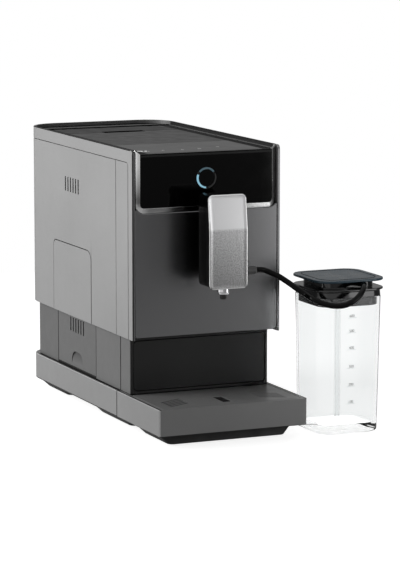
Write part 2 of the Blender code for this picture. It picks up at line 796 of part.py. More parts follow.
def make_lower_housing():
    """Sides and rear of the lower body, on a flange that lies on the skirt."""
    rear = DEPTH - (HALF_WIDTH - LOWER_HALF)
    corner = REAR_CORNER - (HALF_WIDTH - LOWER_HALF)
    front = LOWER_BLOCK_REAR + 2 * SEAM
    low = SKIRT_TOP + FIT
    wall = slab("lower_housing", u_wall(LOWER_HALF, front, rear, corner, WALL), low, HOUSING_BOTTOM - FIT)
    inset = WALL / 2
    flange_front = DOOR_FRONT - FLANGE_WIDTH
    flange = u_wall(LOWER_HALF - inset, flange_front, rear - inset, corner - inset, FLANGE_WIDTH)
    add(wall, slab("lower_flange", flange, low + SKIN, low + FLANGE_THICK))
    opening_high = HOUSING_BOTTOM + OVERRUN
    opening = rounded(DOOR_FRONT - DOOR_GAP, DOOR_REAR + DOOR_GAP, low + FLANGE_THICK, opening_high, 0)
    cut(wall, slab("lower_door_cut", opening, -HALF_WIDTH, -LOWER_HALF + WALL + WELD, facing_x))
    socket = box_outline(INLET_X, INLET_HEIGHT, INLET_HALF_WIDTH + FIT, INLET_HALF_HEIGHT + FIT, 0)
    cut(wall, slab("inlet_cut", socket, rear - WALL - OVERRUN, rear + OVERRUN, facing_y))
    for way in (-1, 1):
        hole_x = INLET_X + way * SCREW_SPREAD
        hole = turned(
            "screw_hole",
            [(SCREW_SHANK + FIT, rear - WALL - OVERRUN), (SCREW_SHANK + FIT, rear + OVERRUN)],
            (hole_x, INLET_HEIGHT),
            facing_y,
            12,
        )
        cut(wall, hole)
    finish(wall, (0.46, 0.46, 0.44), 0.5)
    return rear


def make_base():
    """Rear part of the pale skirt, the black base plate and the rubber pads under its feet."""
    skirt_wall = u_wall(SKIRT_HALF, LOWER_BLOCK_REAR + SEAM, DEPTH, REAR_CORNER, TRAY_WALL)
    skirt = slab("base_skirt", skirt_wall, SKIRT_BOTTOM, SKIRT_TOP)
    ledge = u_wall(SKIRT_HALF - WELD, DOOR_FRONT, DEPTH - WELD, REAR_CORNER - WELD, FLANGE_WIDTH + 2 * WALL)
    add(skirt, slab("skirt_ledge", ledge, SKIRT_TOP - FLANGE_THICK, SKIRT_TOP - SKIN))
    finish(skirt, (0.57, 0.56, 0.54), 0.45)

    inset = HALF_WIDTH - BASE_HALF
    sides = (-BASE_HALF, BASE_HALF, BASE_TONGUE, DEPTH - inset)
    corners = (FOOT_SLOPE, FOOT_SLOPE, REAR_CORNER - inset, REAR_CORNER - inset)
    plate = slab("base_plate", rounded(*sides, corners), BASE_TOP - BASE_PLATE, BASE_TOP)
    for name, front, rear in FOOT_PLACES:
        front_top = max(front - FOOT_SLOPE, BASE_TONGUE + EDGE)
        shape = loft(
            "foot_block_" + name,
            [
                level(rounded(-BASE_FOOT_HALF, BASE_FOOT_HALF, front, rear, FOOT_SLOPE), FOOT_TOP),
                level(
                    rounded(-BASE_HALF + EDGE, BASE_HALF - EDGE, front_top, rear + FOOT_SLOPE, FOOT_SLOPE),
                    BASE_TOP - BASE_PLATE + WELD,
                ),
            ],
        )
        add(plate, shape)
        middle = 0 if name == "front" else (front + rear) / 2
        half_y = PAD_DEPTH / 2
        pad = eased(
            "foot_pad_" + name,
            (-BASE_FOOT_HALF + PAD_INSET, BASE_FOOT_HALF - PAD_INSET, middle - half_y, middle + half_y),
            FOOT_SLOPE,
            0,
            FOOT_PAD,
            edge=EDGE / 2,
        )
        finish(pad, (0.10, 0.10, 0.10), 0.85)
    finish(plate, (0.07, 0.07, 0.07), 0.55)


def cover_outline(inset):
    """The front cover's outline: its top has a horn at each end, round the corners of the trim."""
    side = COVER_HALF - inset
    low = COVER_BOTTOM + inset
    corner = COVER_CORNER - inset
    bend = TRIM_CORNER + FIT + inset
    bend_x = TRIM_OUTER - TRIM_CORNER
    bend_z = TRIM_BOTTOM + TRIM_CORNER
    tip = bend_z - bend * math.sin(math.radians(HORN_TURN))
    outline = arc(-side + corner, low + corner, corner, 180, 270)
    outline += arc(side - corner, low + corner, corner, 270, 360)
    outline += [(side, tip)] + arc(bend_x, bend_z, bend, 360 - HORN_TURN, 270)
    return outline + arc(-bend_x, bend_z, bend, 270, 180 + HORN_TURN) + [(-side, tip)]


def make_front():
    """Metal trim, control panel, light ring and front cover."""
    top = LID_TOP - SEAM
    legs = [(-TRIM_OUTER, TOP_HEIGHT)]
    legs += arc(-TRIM_OUTER + TRIM_CORNER, TRIM_BOTTOM + TRIM_CORNER, TRIM_CORNER, 180, 270)
    legs += arc(TRIM_OUTER - TRIM_CORNER, TRIM_BOTTOM + TRIM_CORNER, TRIM_CORNER, 270, 360)
    legs += [(TRIM_OUTER, TOP_HEIGHT), (TRIM_INNER, top)]
    corner = TRIM_CORNER - TRIM_BAND
    inner_bottom = TRIM_BOTTOM + TRIM_BAND
    legs += arc(TRIM_INNER - corner, inner_bottom + corner, corner, 360, 270)
    legs += arc(-TRIM_INNER + corner, inner_bottom + corner, corner, 270, 180)
    legs += [(-TRIM_INNER, top)]
    trim = slab("front_trim", legs, PANEL_FACE, TRIM_DEPTH, facing_y)
    cut(trim, brow("front_trim_brow"))
    finish(trim, (0.72, 0.72, 0.72), 0.3, 1.0)

    glass_half = TRIM_INNER - FIT
    glass_corner = corner - FIT
    front_sides = rounded(
        -glass_half, glass_half, inner_bottom + FIT, LID_TOP, (glass_corner, glass_corner, 0, 0)
    )
    panel = slab("control_panel", front_sides, PANEL_FACE, PANEL_FACE + PANEL_THICK, facing_y)
    tongue = block(
        "panel_tongue",
        -glass_half + WELD,
        glass_half - WELD,
        PANEL_FACE + WELD,
        TRIM_DEPTH + 2 * WELD,
        LID_TOP - LID_THICK,
        LID_TOP - SKIN,
    )
    top_plate = block(
        "panel_top", -PANEL_TOP_HALF, PANEL_TOP_HALF, TRIM_DEPTH + FIT, PANEL_REAR, LID_TOP - LID_THICK, LID_TOP
    )
    ring_seat = turned(
        "ring_seat",
        [
            (RING_INNER - FIT, PANEL_FACE - OVERRUN),
            (RING_OUTER + FIT, PANEL_FACE - OVERRUN),
            (RING_OUTER + FIT, PANEL_FACE + RING_DEPTH + FIT),
            (RING_INNER - FIT, PANEL_FACE + RING_DEPTH + FIT),
        ],
        (0, RING_HEIGHT),
        facing_y,
        32,
        True,
    )
    add(panel, tongue, top_plate)
    cut(panel, ring_seat)
    finish(panel, (0.07, 0.07, 0.07), 0.12)

    ring = turned(
        "light_ring",
        [
            (RING_INNER, PANEL_FACE - RING_PROUD),
            (RING_OUTER, PANEL_FACE - RING_PROUD),
            (RING_OUTER, PANEL_FACE + RING_DEPTH),
            (RING_INNER, PANEL_FACE + RING_DEPTH),
        ],
        (0, RING_HEIGHT),
        facing_y,
        32,
        True,
    )
    finish(ring, (0.45, 0.68, 0.78), 0.3)

    inner, outer = cover_outline(EDGE), cover_outline(0)
    cover = loft(
        "front_cover",
        [
            facing_y(inner, 0),
            facing_y(outer, EDGE),
            facing_y(outer, COVER_THICK - EDGE),
            facing_y(inner, COVER_THICK),
        ],
    )
    slot = rounded(
        -NECK_HALF - NECK_CLEARANCE,
        NECK_HALF + NECK_CLEARANCE,
        NECK_BOTTOM - SPOUT_TRAVEL - NECK_CLEARANCE,
        NECK_TOP + NECK_CLEARANCE,
        0,
    )
    cut(cover, slab("spout_slot", slot, -OVERRUN, COVER_THICK + OVERRUN, facing_y))
    finish(cover, (0.33, 0.33, 0.33), 0.35, 0.6)


def make_top():
    """Deck under the rim, the bean lid with its seal, and the water tank's lid."""
    half = INSIDE - FIT
    corner = REAR_CORNER - WALL - FIT
    outer = rounded(-half, half, DECK_FRONT, DEPTH - WALL - FIT, (0, 0, corner, corner))
    deck = slab("top_deck", outer, DECK_BOTTOM, LID_TOP)
    recess = block(
        "deck_recess", -RECESS_HALF, RECESS_HALF, -OVERRUN, RECESS_REAR, DECK_TOP, LID_TOP + OVERRUN
    )
    bean = box_outline(
        0,
        (HOPPER_FRONT + HOPPER_REAR) / 2,
        HOPPER_HALF + FIT,
        (HOPPER_REAR - HOPPER_FRONT) / 2 + FIT,
        LID_CORNER,
    )
    opening_half = TANK_HALF + SEAM
    tank = rounded(-opening_half, opening_half, TANK_FRONT - SEAM, TANK_REAR + SEAM, LID_CORNER)
    well_front = BEAN_LID_REAR - FINGER_DEPTH
    well = block(
        "finger_well",
        -FINGER_HALF,
        FINGER_HALF,
        well_front,
        TANK_FRONT,
        DECK_BOTTOM + FINGER_FLOOR,
        DECK_TOP + WELD,
    )
    board = block(
        "deck_board_cut",
        -BOARD_HALF_X - OVERRUN,
        BOARD_HALF_X + OVERRUN,
        BULKHEAD_FRONT + BULKHEAD_THICK + OVERRUN,
        PANEL_REAR - 2 * OVERRUN,
        DECK_BOTTOM - OVERRUN,
        DECK_TOP + WELD,
    )
    through_low = DECK_BOTTOM - OVERRUN
    through_high = DECK_TOP + WELD
    cut(
        deck,
        recess,
        slab("deck_bean_cut", bean, through_low, through_high),
        slab("deck_tank_cut", tank, through_low, through_high),
        board,
        well,
    )
    finish(deck, (0.30, 0.30, 0.30), 0.5)

    lid_half = RECESS_HALF - FIT
    lid = eased(
        "bean_lid",
        (-lid_half, lid_half, PANEL_REAR + SEAM, BEAN_LID_REAR),
        LID_CORNER,
        LID_TOP - LID_THICK,
        LID_TOP,
    )
    finger_corners = (LID_CORNER, LID_CORNER, 0, 0)
    finger_front = BEAN_LID_REAR - FINGER_DEPTH
    finger = rounded(-FINGER_HALF, FINGER_HALF, finger_front, BEAN_LID_REAR + OVERRUN, finger_corners)
    cut(lid, slab("finger_cut", finger, LID_TOP - LID_THICK - OVERRUN, LID_TOP + OVERRUN))
    rim_x = HOPPER_HALF - HOPPER_WALL - LIP
    rim_front = HOPPER_FRONT + HOPPER_WALL + LIP
    rim_rear = HOPPER_REAR - HOPPER_WALL - LIP
    outside = rounded(-rim_x, rim_x, rim_front, rim_rear, LID_CORNER)
    inside = rounded(-rim_x + LIP, rim_x - LIP, rim_front + LIP, rim_rear - LIP, LID_CORNER)
    seal_top = LID_TOP - LID_THICK - FIT
    seal = hoop("bean_lid_seal", outside, inside, seal_top - SEAL_HEIGHT, seal_top)
    finish(lid, (0.33, 0.33, 0.33), 0.35)
    finish(seal, (0.20, 0.20, 0.20), 0.8)
    carry(pivot("bean_lid_pivot", (0, (PANEL_REAR + BEAN_LID_REAR) / 2, LID_TOP)), lid, seal)


def make_hopper():
    """Bean funnel that narrows to a round throat over the burrs."""
    shape_steps = 6 * (ARC_STEPS - 1)
    mouth = HOPPER_HALF
    middle_y = (HOPPER_FRONT + HOPPER_REAR) / 2
    half_y = (HOPPER_REAR - HOPPER_FRONT) / 2

    def around(half_x, half_depth, corner):
        return box_outline(0, middle_y, half_x, half_depth, corner)

    def throat(radius):
        return arc(GRINDER_X, GRINDER_Y, radius, 195, 195 + 360 - 360 / shape_steps, shape_steps - 1)

    top = DECK_BOTTOM + DECK_THICK - FIT
    outer = [
        level(throat(THROAT_RADIUS + HOPPER_WALL), HOPPER_THROAT_TOP - RING_HEIGHT_SIZE),
        level(throat(THROAT_RADIUS + HOPPER_WALL), HOPPER_THROAT_TOP),
        level(around(mouth, half_y, LID_CORNER), HOPPER_SHOULDER),
        level(around(mouth, half_y, LID_CORNER), top),
    ]
    inner = [
        level(around(mouth - HOPPER_WALL, half_y - HOPPER_WALL, LID_CORNER / 2), top),
        level(
            around(mouth - HOPPER_WALL, half_y - HOPPER_WALL, LID_CORNER / 2), HOPPER_SHOULDER + HOPPER_WALL / 2
        ),
        level(throat(THROAT_RADIUS), HOPPER_THROAT_TOP + HOPPER_WALL / 2),
        level(throat(THROAT_RADIUS), HOPPER_THROAT_TOP - RING_HEIGHT_SIZE),
    ]
    hopper = loft("bean_hopper", outer + inner, ring=True)
    finish(hopper, (0.16, 0.15, 0.15), 0.3)


def make_grinder():
    """Grind ring with the upper burr, lower burr on its shaft, housing, motor and chute."""
    centre = (GRINDER_X, GRINDER_Y)
    ring_low = HOPPER_THROAT_TOP - RING_HEIGHT_SIZE
    ring_high = HOPPER_THROAT_TOP + RING_HEIGHT_SIZE / 2
    ring = turned(
        "grind_ring",
        [
            (RING_BORE, ring_low),
            (RING_GRIP_RADIUS, ring_low),
            (RING_GRIP_RADIUS, ring_high),
            (RING_BORE, ring_high),
        ],
        centre,
        ring=True,
    )
    tab = block(
        "grind_ring_tab",
        GRINDER_X - LIP,
        GRINDER_X + LIP,
        GRINDER_Y - RING_GRIP_RADIUS + WELD,
        GRINDER_Y - RING_BORE - WELD,
        ring_high - WELD,
        ring_high + RING_HEIGHT_SIZE / 2,
    )
    tab_rear = block(
        "grind_ring_tab_rear",
        GRINDER_X - LIP,
        GRINDER_X + LIP,
        GRINDER_Y + RING_BORE + WELD,
        GRINDER_Y + RING_GRIP_RADIUS - WELD,
        ring_high - WELD,
        ring_high + RING_HEIGHT_SIZE / 2,
    )
    add(ring, tab, tab_rear)
    burr_top = ring_low - FIT
    burr_low = burr_top - UPPER_BURR_HEIGHT
    throat = LOWER_BURR_RADIUS + SEAM
    upper = turned(
        "upper_burr",
        [(throat, burr_low), (BURR_OUTER, burr_low), (BURR_OUTER, burr_top), (RING_BORE, burr_top)],
        centre,
        ring=True,
    )
    lower_top = burr_top - LIP
    lower_low = lower_top - LOWER_BURR_HEIGHT
    lower = turned(
        "lower_burr",
        [
            (SHAFT_RADIUS, MOTOR_TOP + FIT),
            (SHAFT_RADIUS, lower_low),
            (LOWER_BURR_RADIUS, lower_low),
            (LOWER_BURR_RADIUS, lower_low + LIP),
            (SHAFT_RADIUS * 2, lower_top),
        ],
        centre,
    )
    housing_top = HOPPER_THROAT_TOP - RING_HEIGHT_SIZE - FIT
    floor = GRINDER_HOUSING_BOTTOM + LIP
    chamber_floor = lower_low - LIP
    housing = turned(
        "grinder_housing",
        [
            (SHAFT_RADIUS + FIT, GRINDER_HOUSING_BOTTOM),
            (MOTOR_RADIUS, GRINDER_HOUSING_BOTTOM),
            (GRINDER_HOUSING_RADIUS, floor + LIP),
            (GRINDER_HOUSING_RADIUS, housing_top),
            (GRINDER_BORE, housing_top),
            (GRINDER_BORE, chamber_floor),
            (SHAFT_RADIUS + FIT, chamber_floor),
        ],
        centre,
        ring=True,
    )
    outlet = block(
        "grinder_outlet",
        GRINDER_X - CHUTE_WIDTH / 2 + HOPPER_WALL,
        GRINDER_X + CHUTE_WIDTH / 2 - HOPPER_WALL,
        GRINDER_Y - GRINDER_HOUSING_RADIUS - OVERRUN,
        GRINDER_Y - RING_BORE,
        chamber_floor,
        chamber_floor + LOWER_BURR_HEIGHT,
    )
    cut(housing, outlet)
    motor_low = MOTOR_BOTTOM
    motor_high = MOTOR_TOP
    motor = turned(
        "grinder_motor",
        [
            (MOTOR_RADIUS - LIP, motor_low),
            (MOTOR_RADIUS, motor_low + LIP),
            (MOTOR_RADIUS, motor_high - LIP),
            (MOTOR_RADIUS - LIP, motor_high),
        ],
        centre,
    )
    chute_front = GRINDER_Y - GRINDER_HOUSING_RADIUS - FIT
    wall = HOPPER_WALL
    outer = box_outline(GRINDER_X, chute_front - CHUTE_DEPTH / 2, CHUTE_WIDTH / 2, CHUTE_DEPTH / 2, 0)
    chute_y = chute_front - CHUTE_DEPTH / 2
    inner = box_outline(GRINDER_X, chute_y, CHUTE_WIDTH / 2 - wall, CHUTE_DEPTH / 2 - wall, 0)
    chute_low = SHELF_TOP - SHELF_THICK - OVERRUN
    chute = hoop("coffee_chute", outer, inner, chute_low, chamber_floor + LOWER_BURR_HEIGHT)
    mouth = block(
        "chute_mouth",
        GRINDER_X - CHUTE_WIDTH / 2 + wall,
        GRINDER_X + CHUTE_WIDTH / 2 - wall,
        chute_front - wall - WELD,
        chute_front + OVERRUN,
        chamber_floor,
        chamber_floor + LOWER_BURR_HEIGHT - wall,
    )
    cut(chute, mouth)
    finish(ring, (0.75, 0.35, 0.12), 0.4)
    finish(upper, (0.70, 0.70, 0.70), 0.3, 1.0)
    finish(lower, (0.70, 0.70, 0.70), 0.3, 1.0)
    finish(housing, (0.15, 0.15, 0.15), 0.5)
    finish(motor, (0.60, 0.60, 0.62), 0.35, 1.0)
    finish(chute, (0.14, 0.14, 0.14), 0.5)
    carry(pivot("grind_ring_pivot", (GRINDER_X, GRINDER_Y, ring_low)), ring, upper)
    carry(pivot("burr_pivot", (GRINDER_X, GRINDER_Y, lower_low)), lower)


def make_inner_frame():
    """Bulkheads, the shelf under the grinder and the right side plate, in one moulding."""
    high = DECK_BOTTOM - FIT
    rail_front = BULKHEAD_FRONT
    frame = block(
        "inner_frame", -FRAME_HALF, FRAME_HALF, rail_front, rail_front + BULKHEAD_THICK, COVER_BOTTOM, high
    )
    mid_foot = HOUSING_BOTTOM + DOOR_WALL + SEAM
    mid = block(
        "mid_bulkhead", -FRAME_HALF, FRAME_HALF, MID_BULKHEAD, MID_BULKHEAD + BULKHEAD_THICK, mid_foot, high
    )
    lower_half = LOWER_HALF - WALL - FLANGE_WIDTH
    mid_low = block(
        "mid_bulkhead_low",
        -lower_half + 2 * FIT,
        lower_half - 2 * FIT,
        MID_BULKHEAD,
        MID_BULKHEAD + BULKHEAD_THICK,
        BASE_TOP + FIT,
        mid_foot + WELD,
    )
    shelf = block(
        "grinder_shelf",
        -FRAME_HALF + DOOR_WALL + FIT,
        FRAME_HALF,
        rail_front + WELD,
        MID_BULKHEAD + WELD,
        SHELF_TOP - SHELF_THICK,
        SHELF_TOP,
    )
    add(frame, mid, mid_low, shelf)
    cut(
        frame,
        block(
            "chute_hole",
            GRINDER_X - CHUTE_WIDTH / 2 - FIT,
            GRINDER_X + CHUTE_WIDTH / 2 + FIT,
            GRINDER_Y - GRINDER_HOUSING_RADIUS - CHUTE_DEPTH - 2 * FIT,
            GRINDER_Y - GRINDER_HOUSING_RADIUS + FIT,
            SHELF_TOP - SHELF_THICK - OVERRUN,
            SHELF_TOP + OVERRUN,
        ),
    )
    rails_front = COVER_THICK + FIT
    outer = rounded(
        -SLIDER_HALF - FIT - RAIL_WIDTH,
        SLIDER_HALF + FIT + RAIL_WIDTH,
        NECK_BOTTOM - SPOUT_TRAVEL - RAIL_WIDTH - SEAM,
        NECK_TOP + RAIL_WIDTH + SEAM,
        0,
    )
    inner = rounded(
        -SLIDER_HALF - FIT,
        SLIDER_HALF + FIT,
        NECK_BOTTOM - SPOUT_TRAVEL - SEAM,
        NECK_TOP + SEAM,
        0,
    )
    add(frame, hoop("spout_rail", outer, inner, rails_front, BULKHEAD_FRONT + WELD, facing_y))
    finish(frame, (0.22, 0.22, 0.23), 0.6)


def make_brew_group():
    """Frame with its chamber, the piston on its arm, and the screw spindle with its gear motor."""
    centre = (BREW_X, BREW_Y)
    outer = BREW_BORE + BREW_CYLINDER_WALL
    chamber = turned(
        "brew_frame",
        [(BREW_BORE, BREW_BOTTOM), (outer, BREW_BOTTOM), (outer, BREW_TOP), (BREW_BORE, BREW_TOP)],
        centre,
        ring=True,
        steps=32,
    )
    rear = BREW_Y + outer
    spindle_y = BREW_Y + SPINDLE_REACH
    foot_low = BASE_TOP + FIT
    foot_high = foot_low + BREW_FOOT_THICK
    back = block(
        "brew_back",
        BREW_X + outer - BREW_BACK_THICK / 2,
        BREW_X + outer + BREW_BACK_THICK / 2,
        BREW_Y - outer,
        spindle_y + ARM_HALF,
        foot_high - WELD,
        BREW_TOP - WELD,
    )
    foot = block(
        "brew_foot",
        BREW_X - outer + OVERRUN,
        BREW_X + outer + BREW_BACK_THICK / 2,
        BREW_Y - outer,
        spindle_y + ARM_HALF,
        foot_low,
        foot_high,
    )
    web = block(
        "brew_web",
        BREW_X + outer / 2,
        BREW_X + outer,
        rear - BREW_CYLINDER_WALL / 2 - outer / 2,
        rear + BREW_BACK_THICK / 2,
        BREW_BOTTOM + OVERRUN,
        BREW_TOP - OVERRUN,
    )
    bearing_low = BREW_TOP - OVERRUN
    bearing = block(
        "spindle_bearing",
        BREW_X - ARM_HALF,
        BREW_X + outer,
        spindle_y - ARM_HALF,
        spindle_y + ARM_HALF,
        bearing_low - WELD,
        BREW_TOP,
    )
    spindle_hole = turned(
        "spindle_hole",
        [(SPINDLE_RADIUS + FIT, foot_low - OVERRUN), (SPINDLE_RADIUS + FIT, BREW_TOP + OVERRUN)],
        (BREW_X, spindle_y),
        steps=16,
    )
    bore_profile = [(BREW_BORE, BREW_BOTTOM - OVERRUN), (BREW_BORE, BREW_TOP + OVERRUN)]
    bore = turned("brew_bore", bore_profile, centre, steps=32)
    add(chamber, back, foot, web, bearing)
    cut(chamber, bore, spindle_hole)
    finish(chamber, (0.12, 0.12, 0.12), 0.5)

    piston_radius = BREW_BORE - PISTON_CLEARANCE
    arm_top = BREW_BOTTOM - PISTON_TRAVEL - SEAM
    arm_low = arm_top - ARM_THICK
    piston = turned(
        "brew_piston",
        [
            (PISTON_ROD, arm_low),
            (PISTON_ROD, PISTON_REST),
            (piston_radius, PISTON_REST),
            (piston_radius, PISTON_REST + PISTON_HEIGHT),
        ],
        centre,
    )
    arm = block(
        "piston_arm",
        BREW_X - ARM_HALF,
        BREW_X + ARM_HALF,
        BREW_Y - ARM_HALF,
        spindle_y + ARM_HALF - OVERRUN / 2,
        arm_low,
        arm_top,
    )
    nut = turned(
        "piston_nut",
        [(SPINDLE_RADIUS + FIT, arm_low - OVERRUN), (SPINDLE_RADIUS + FIT, arm_top + OVERRUN)],
        (BREW_X, spindle_y),
        steps=16,
    )
    add(piston, arm)
    cut(piston, nut)
    finish(piston, (0.75, 0.40, 0.15), 0.4)
    carry(pivot("piston_pivot", (BREW_X, BREW_Y, PISTON_REST)), piston)

    motor_low = foot_high + FIT
    motor_high = motor_low + BREW_MOTOR_HEIGHT
    motor = turned(
        "brew_motor",
        [
            (BREW_MOTOR_RADIUS - EDGE, motor_low),
            (BREW_MOTOR_RADIUS, motor_low + EDGE),
            (BREW_MOTOR_RADIUS, motor_high - EDGE),
            (BREW_MOTOR_RADIUS - EDGE, motor_high),
        ],
        (BREW_X, spindle_y),
    )
    finish(motor, (0.60, 0.60, 0.62), 0.35, 1.0)
    spindle_low = motor_high + FIT
    spindle = turned(
        "brew_spindle",
        [
            (SPINDLE_RADIUS - EDGE, spindle_low),
            (SPINDLE_RADIUS, spindle_low + EDGE),
            (SPINDLE_RADIUS, BREW_TOP - EDGE),
            (SPINDLE_RADIUS - EDGE, BREW_TOP),
        ],
        (BREW_X, spindle_y),
        steps=16,
    )
    finish(spindle, (0.70, 0.70, 0.70), 0.3, 1.0)
    carry(pivot("spindle_pivot", (BREW_X, spindle_y, BREW_TOP)), spindle)


def make_hydraulics():
    """Finned heater and vibration pump."""
    heater = block(
        "heater_block",
        HEATER_LEFT,
        HEATER_RIGHT,
        HEATER_FRONT,
        HEATER_REAR,
        HEATER_BOTTOM + HEATER_FIN,
        SHELF_TOP - SHELF_THICK - FIT,
    )
    pitch = (HEATER_REAR - HEATER_FRONT) / HEATER_FINS
    grooves = bars(
        "heater_grooves",
        HEATER_FRONT + pitch / 2,
        pitch,
        HEATER_FINS,
        pitch - HEATER_FIN,
        HEATER_BOTTOM,
        HEATER_BOTTOM + HEATER_GROOVE,
        HEATER_LEFT - OVERRUN,
        HEATER_RIGHT + OVERRUN,
    )
    cut(heater, grooves)
    finish(heater, (0.72, 0.72, 0.73), 0.4, 1.0)

    rear = PUMP_FRONT + PUMP_LENGTH
    pump = turned(
        "water_pump",
        [
            (PUMP_NOSE, PUMP_FRONT - PUMP_NOSE * 2),
            (PUMP_NOSE, PUMP_FRONT),
            (PUMP_RADIUS, PUMP_FRONT),
            (PUMP_RADIUS, rear),
            (PUMP_NOSE, rear),
            (PUMP_NOSE, rear + PUMP_NOSE * 2),
        ],
        (PUMP_X, PUMP_HEIGHT),
        facing_y,
        20,
    )
    cradle_low = BASE_TOP + FIT
    for middle in (PUMP_FRONT + PUMP_NOSE, rear - PUMP_NOSE):
        cheek = block(
            "pump_cheek",
            PUMP_X - PUMP_RADIUS - PUMP_CHEEK,
            PUMP_X + PUMP_RADIUS + PUMP_CHEEK,
            middle - PUMP_CHEEK / 2,
            middle + PUMP_CHEEK / 2,
            cradle_low,
            PUMP_HEIGHT + PUMP_NOSE,
        )
        add(pump, cheek)
    finish(pump, (0.20, 0.20, 0.22), 0.5)



def make_boards():
    """Touch control board behind the panel and the power board beside the grinder."""
    rear = BULKHEAD_FRONT - BOARD_STAND_OFF
    face = rear - BOARD_THICK
    board = block("control_board", -BOARD_HALF_X, BOARD_HALF_X, face, rear, BOARD_BOTTOM, BOARD_TOP)
    chip_low = BOARD_BOTTOM + OVERRUN
    for place_share in CHIP_SHARES:
        middle = BOARD_HALF_X * place_share
        chip = block(
            "board_chip",
            middle - BOARD_PARTS_HEIGHT,
            middle + BOARD_PARTS_HEIGHT,
            face - BOARD_STAND_OFF,
            face + BOARD_THICK / 2,
            chip_low,
            chip_low + BOARD_PARTS_HEIGHT * 2,
        )
        add(board, chip)
    for place_share in POST_SHARES:
        middle = BOARD_HALF_X * place_share
        post = block(
            "board_post",
            middle - BOARD_THICK,
            middle + BOARD_THICK,
            rear - BOARD_THICK / 2,
            BULKHEAD_FRONT - FIT,
            BOARD_TOP - BOARD_PARTS_HEIGHT,
            BOARD_TOP - BOARD_THICK,
        )
        add(board, post)
    finish(board, (0.10, 0.30, 0.18), 0.5)

    outer = INSIDE - 2 * WALL
    plate = block(
        "power_board", outer - BOARD_THICK, outer, POWER_FRONT, POWER_REAR, SHELF_TOP + FIT, POWER_TOP
    )
    for share in POWER_PART_SHARES:
        front = POWER_FRONT + (POWER_REAR - POWER_FRONT) * share
        part = block(
            "power_part",
            outer - POWER_PART_SIZE,
            outer - BOARD_THICK / 2,
            front,
            front + POWER_PART_SIZE,
            POWER_BOTTOM,
            POWER_BOTTOM + POWER_PART_HEIGHT,
        )
        add(plate, part)
    finish(plate, (0.12, 0.32, 0.20), 0.5)


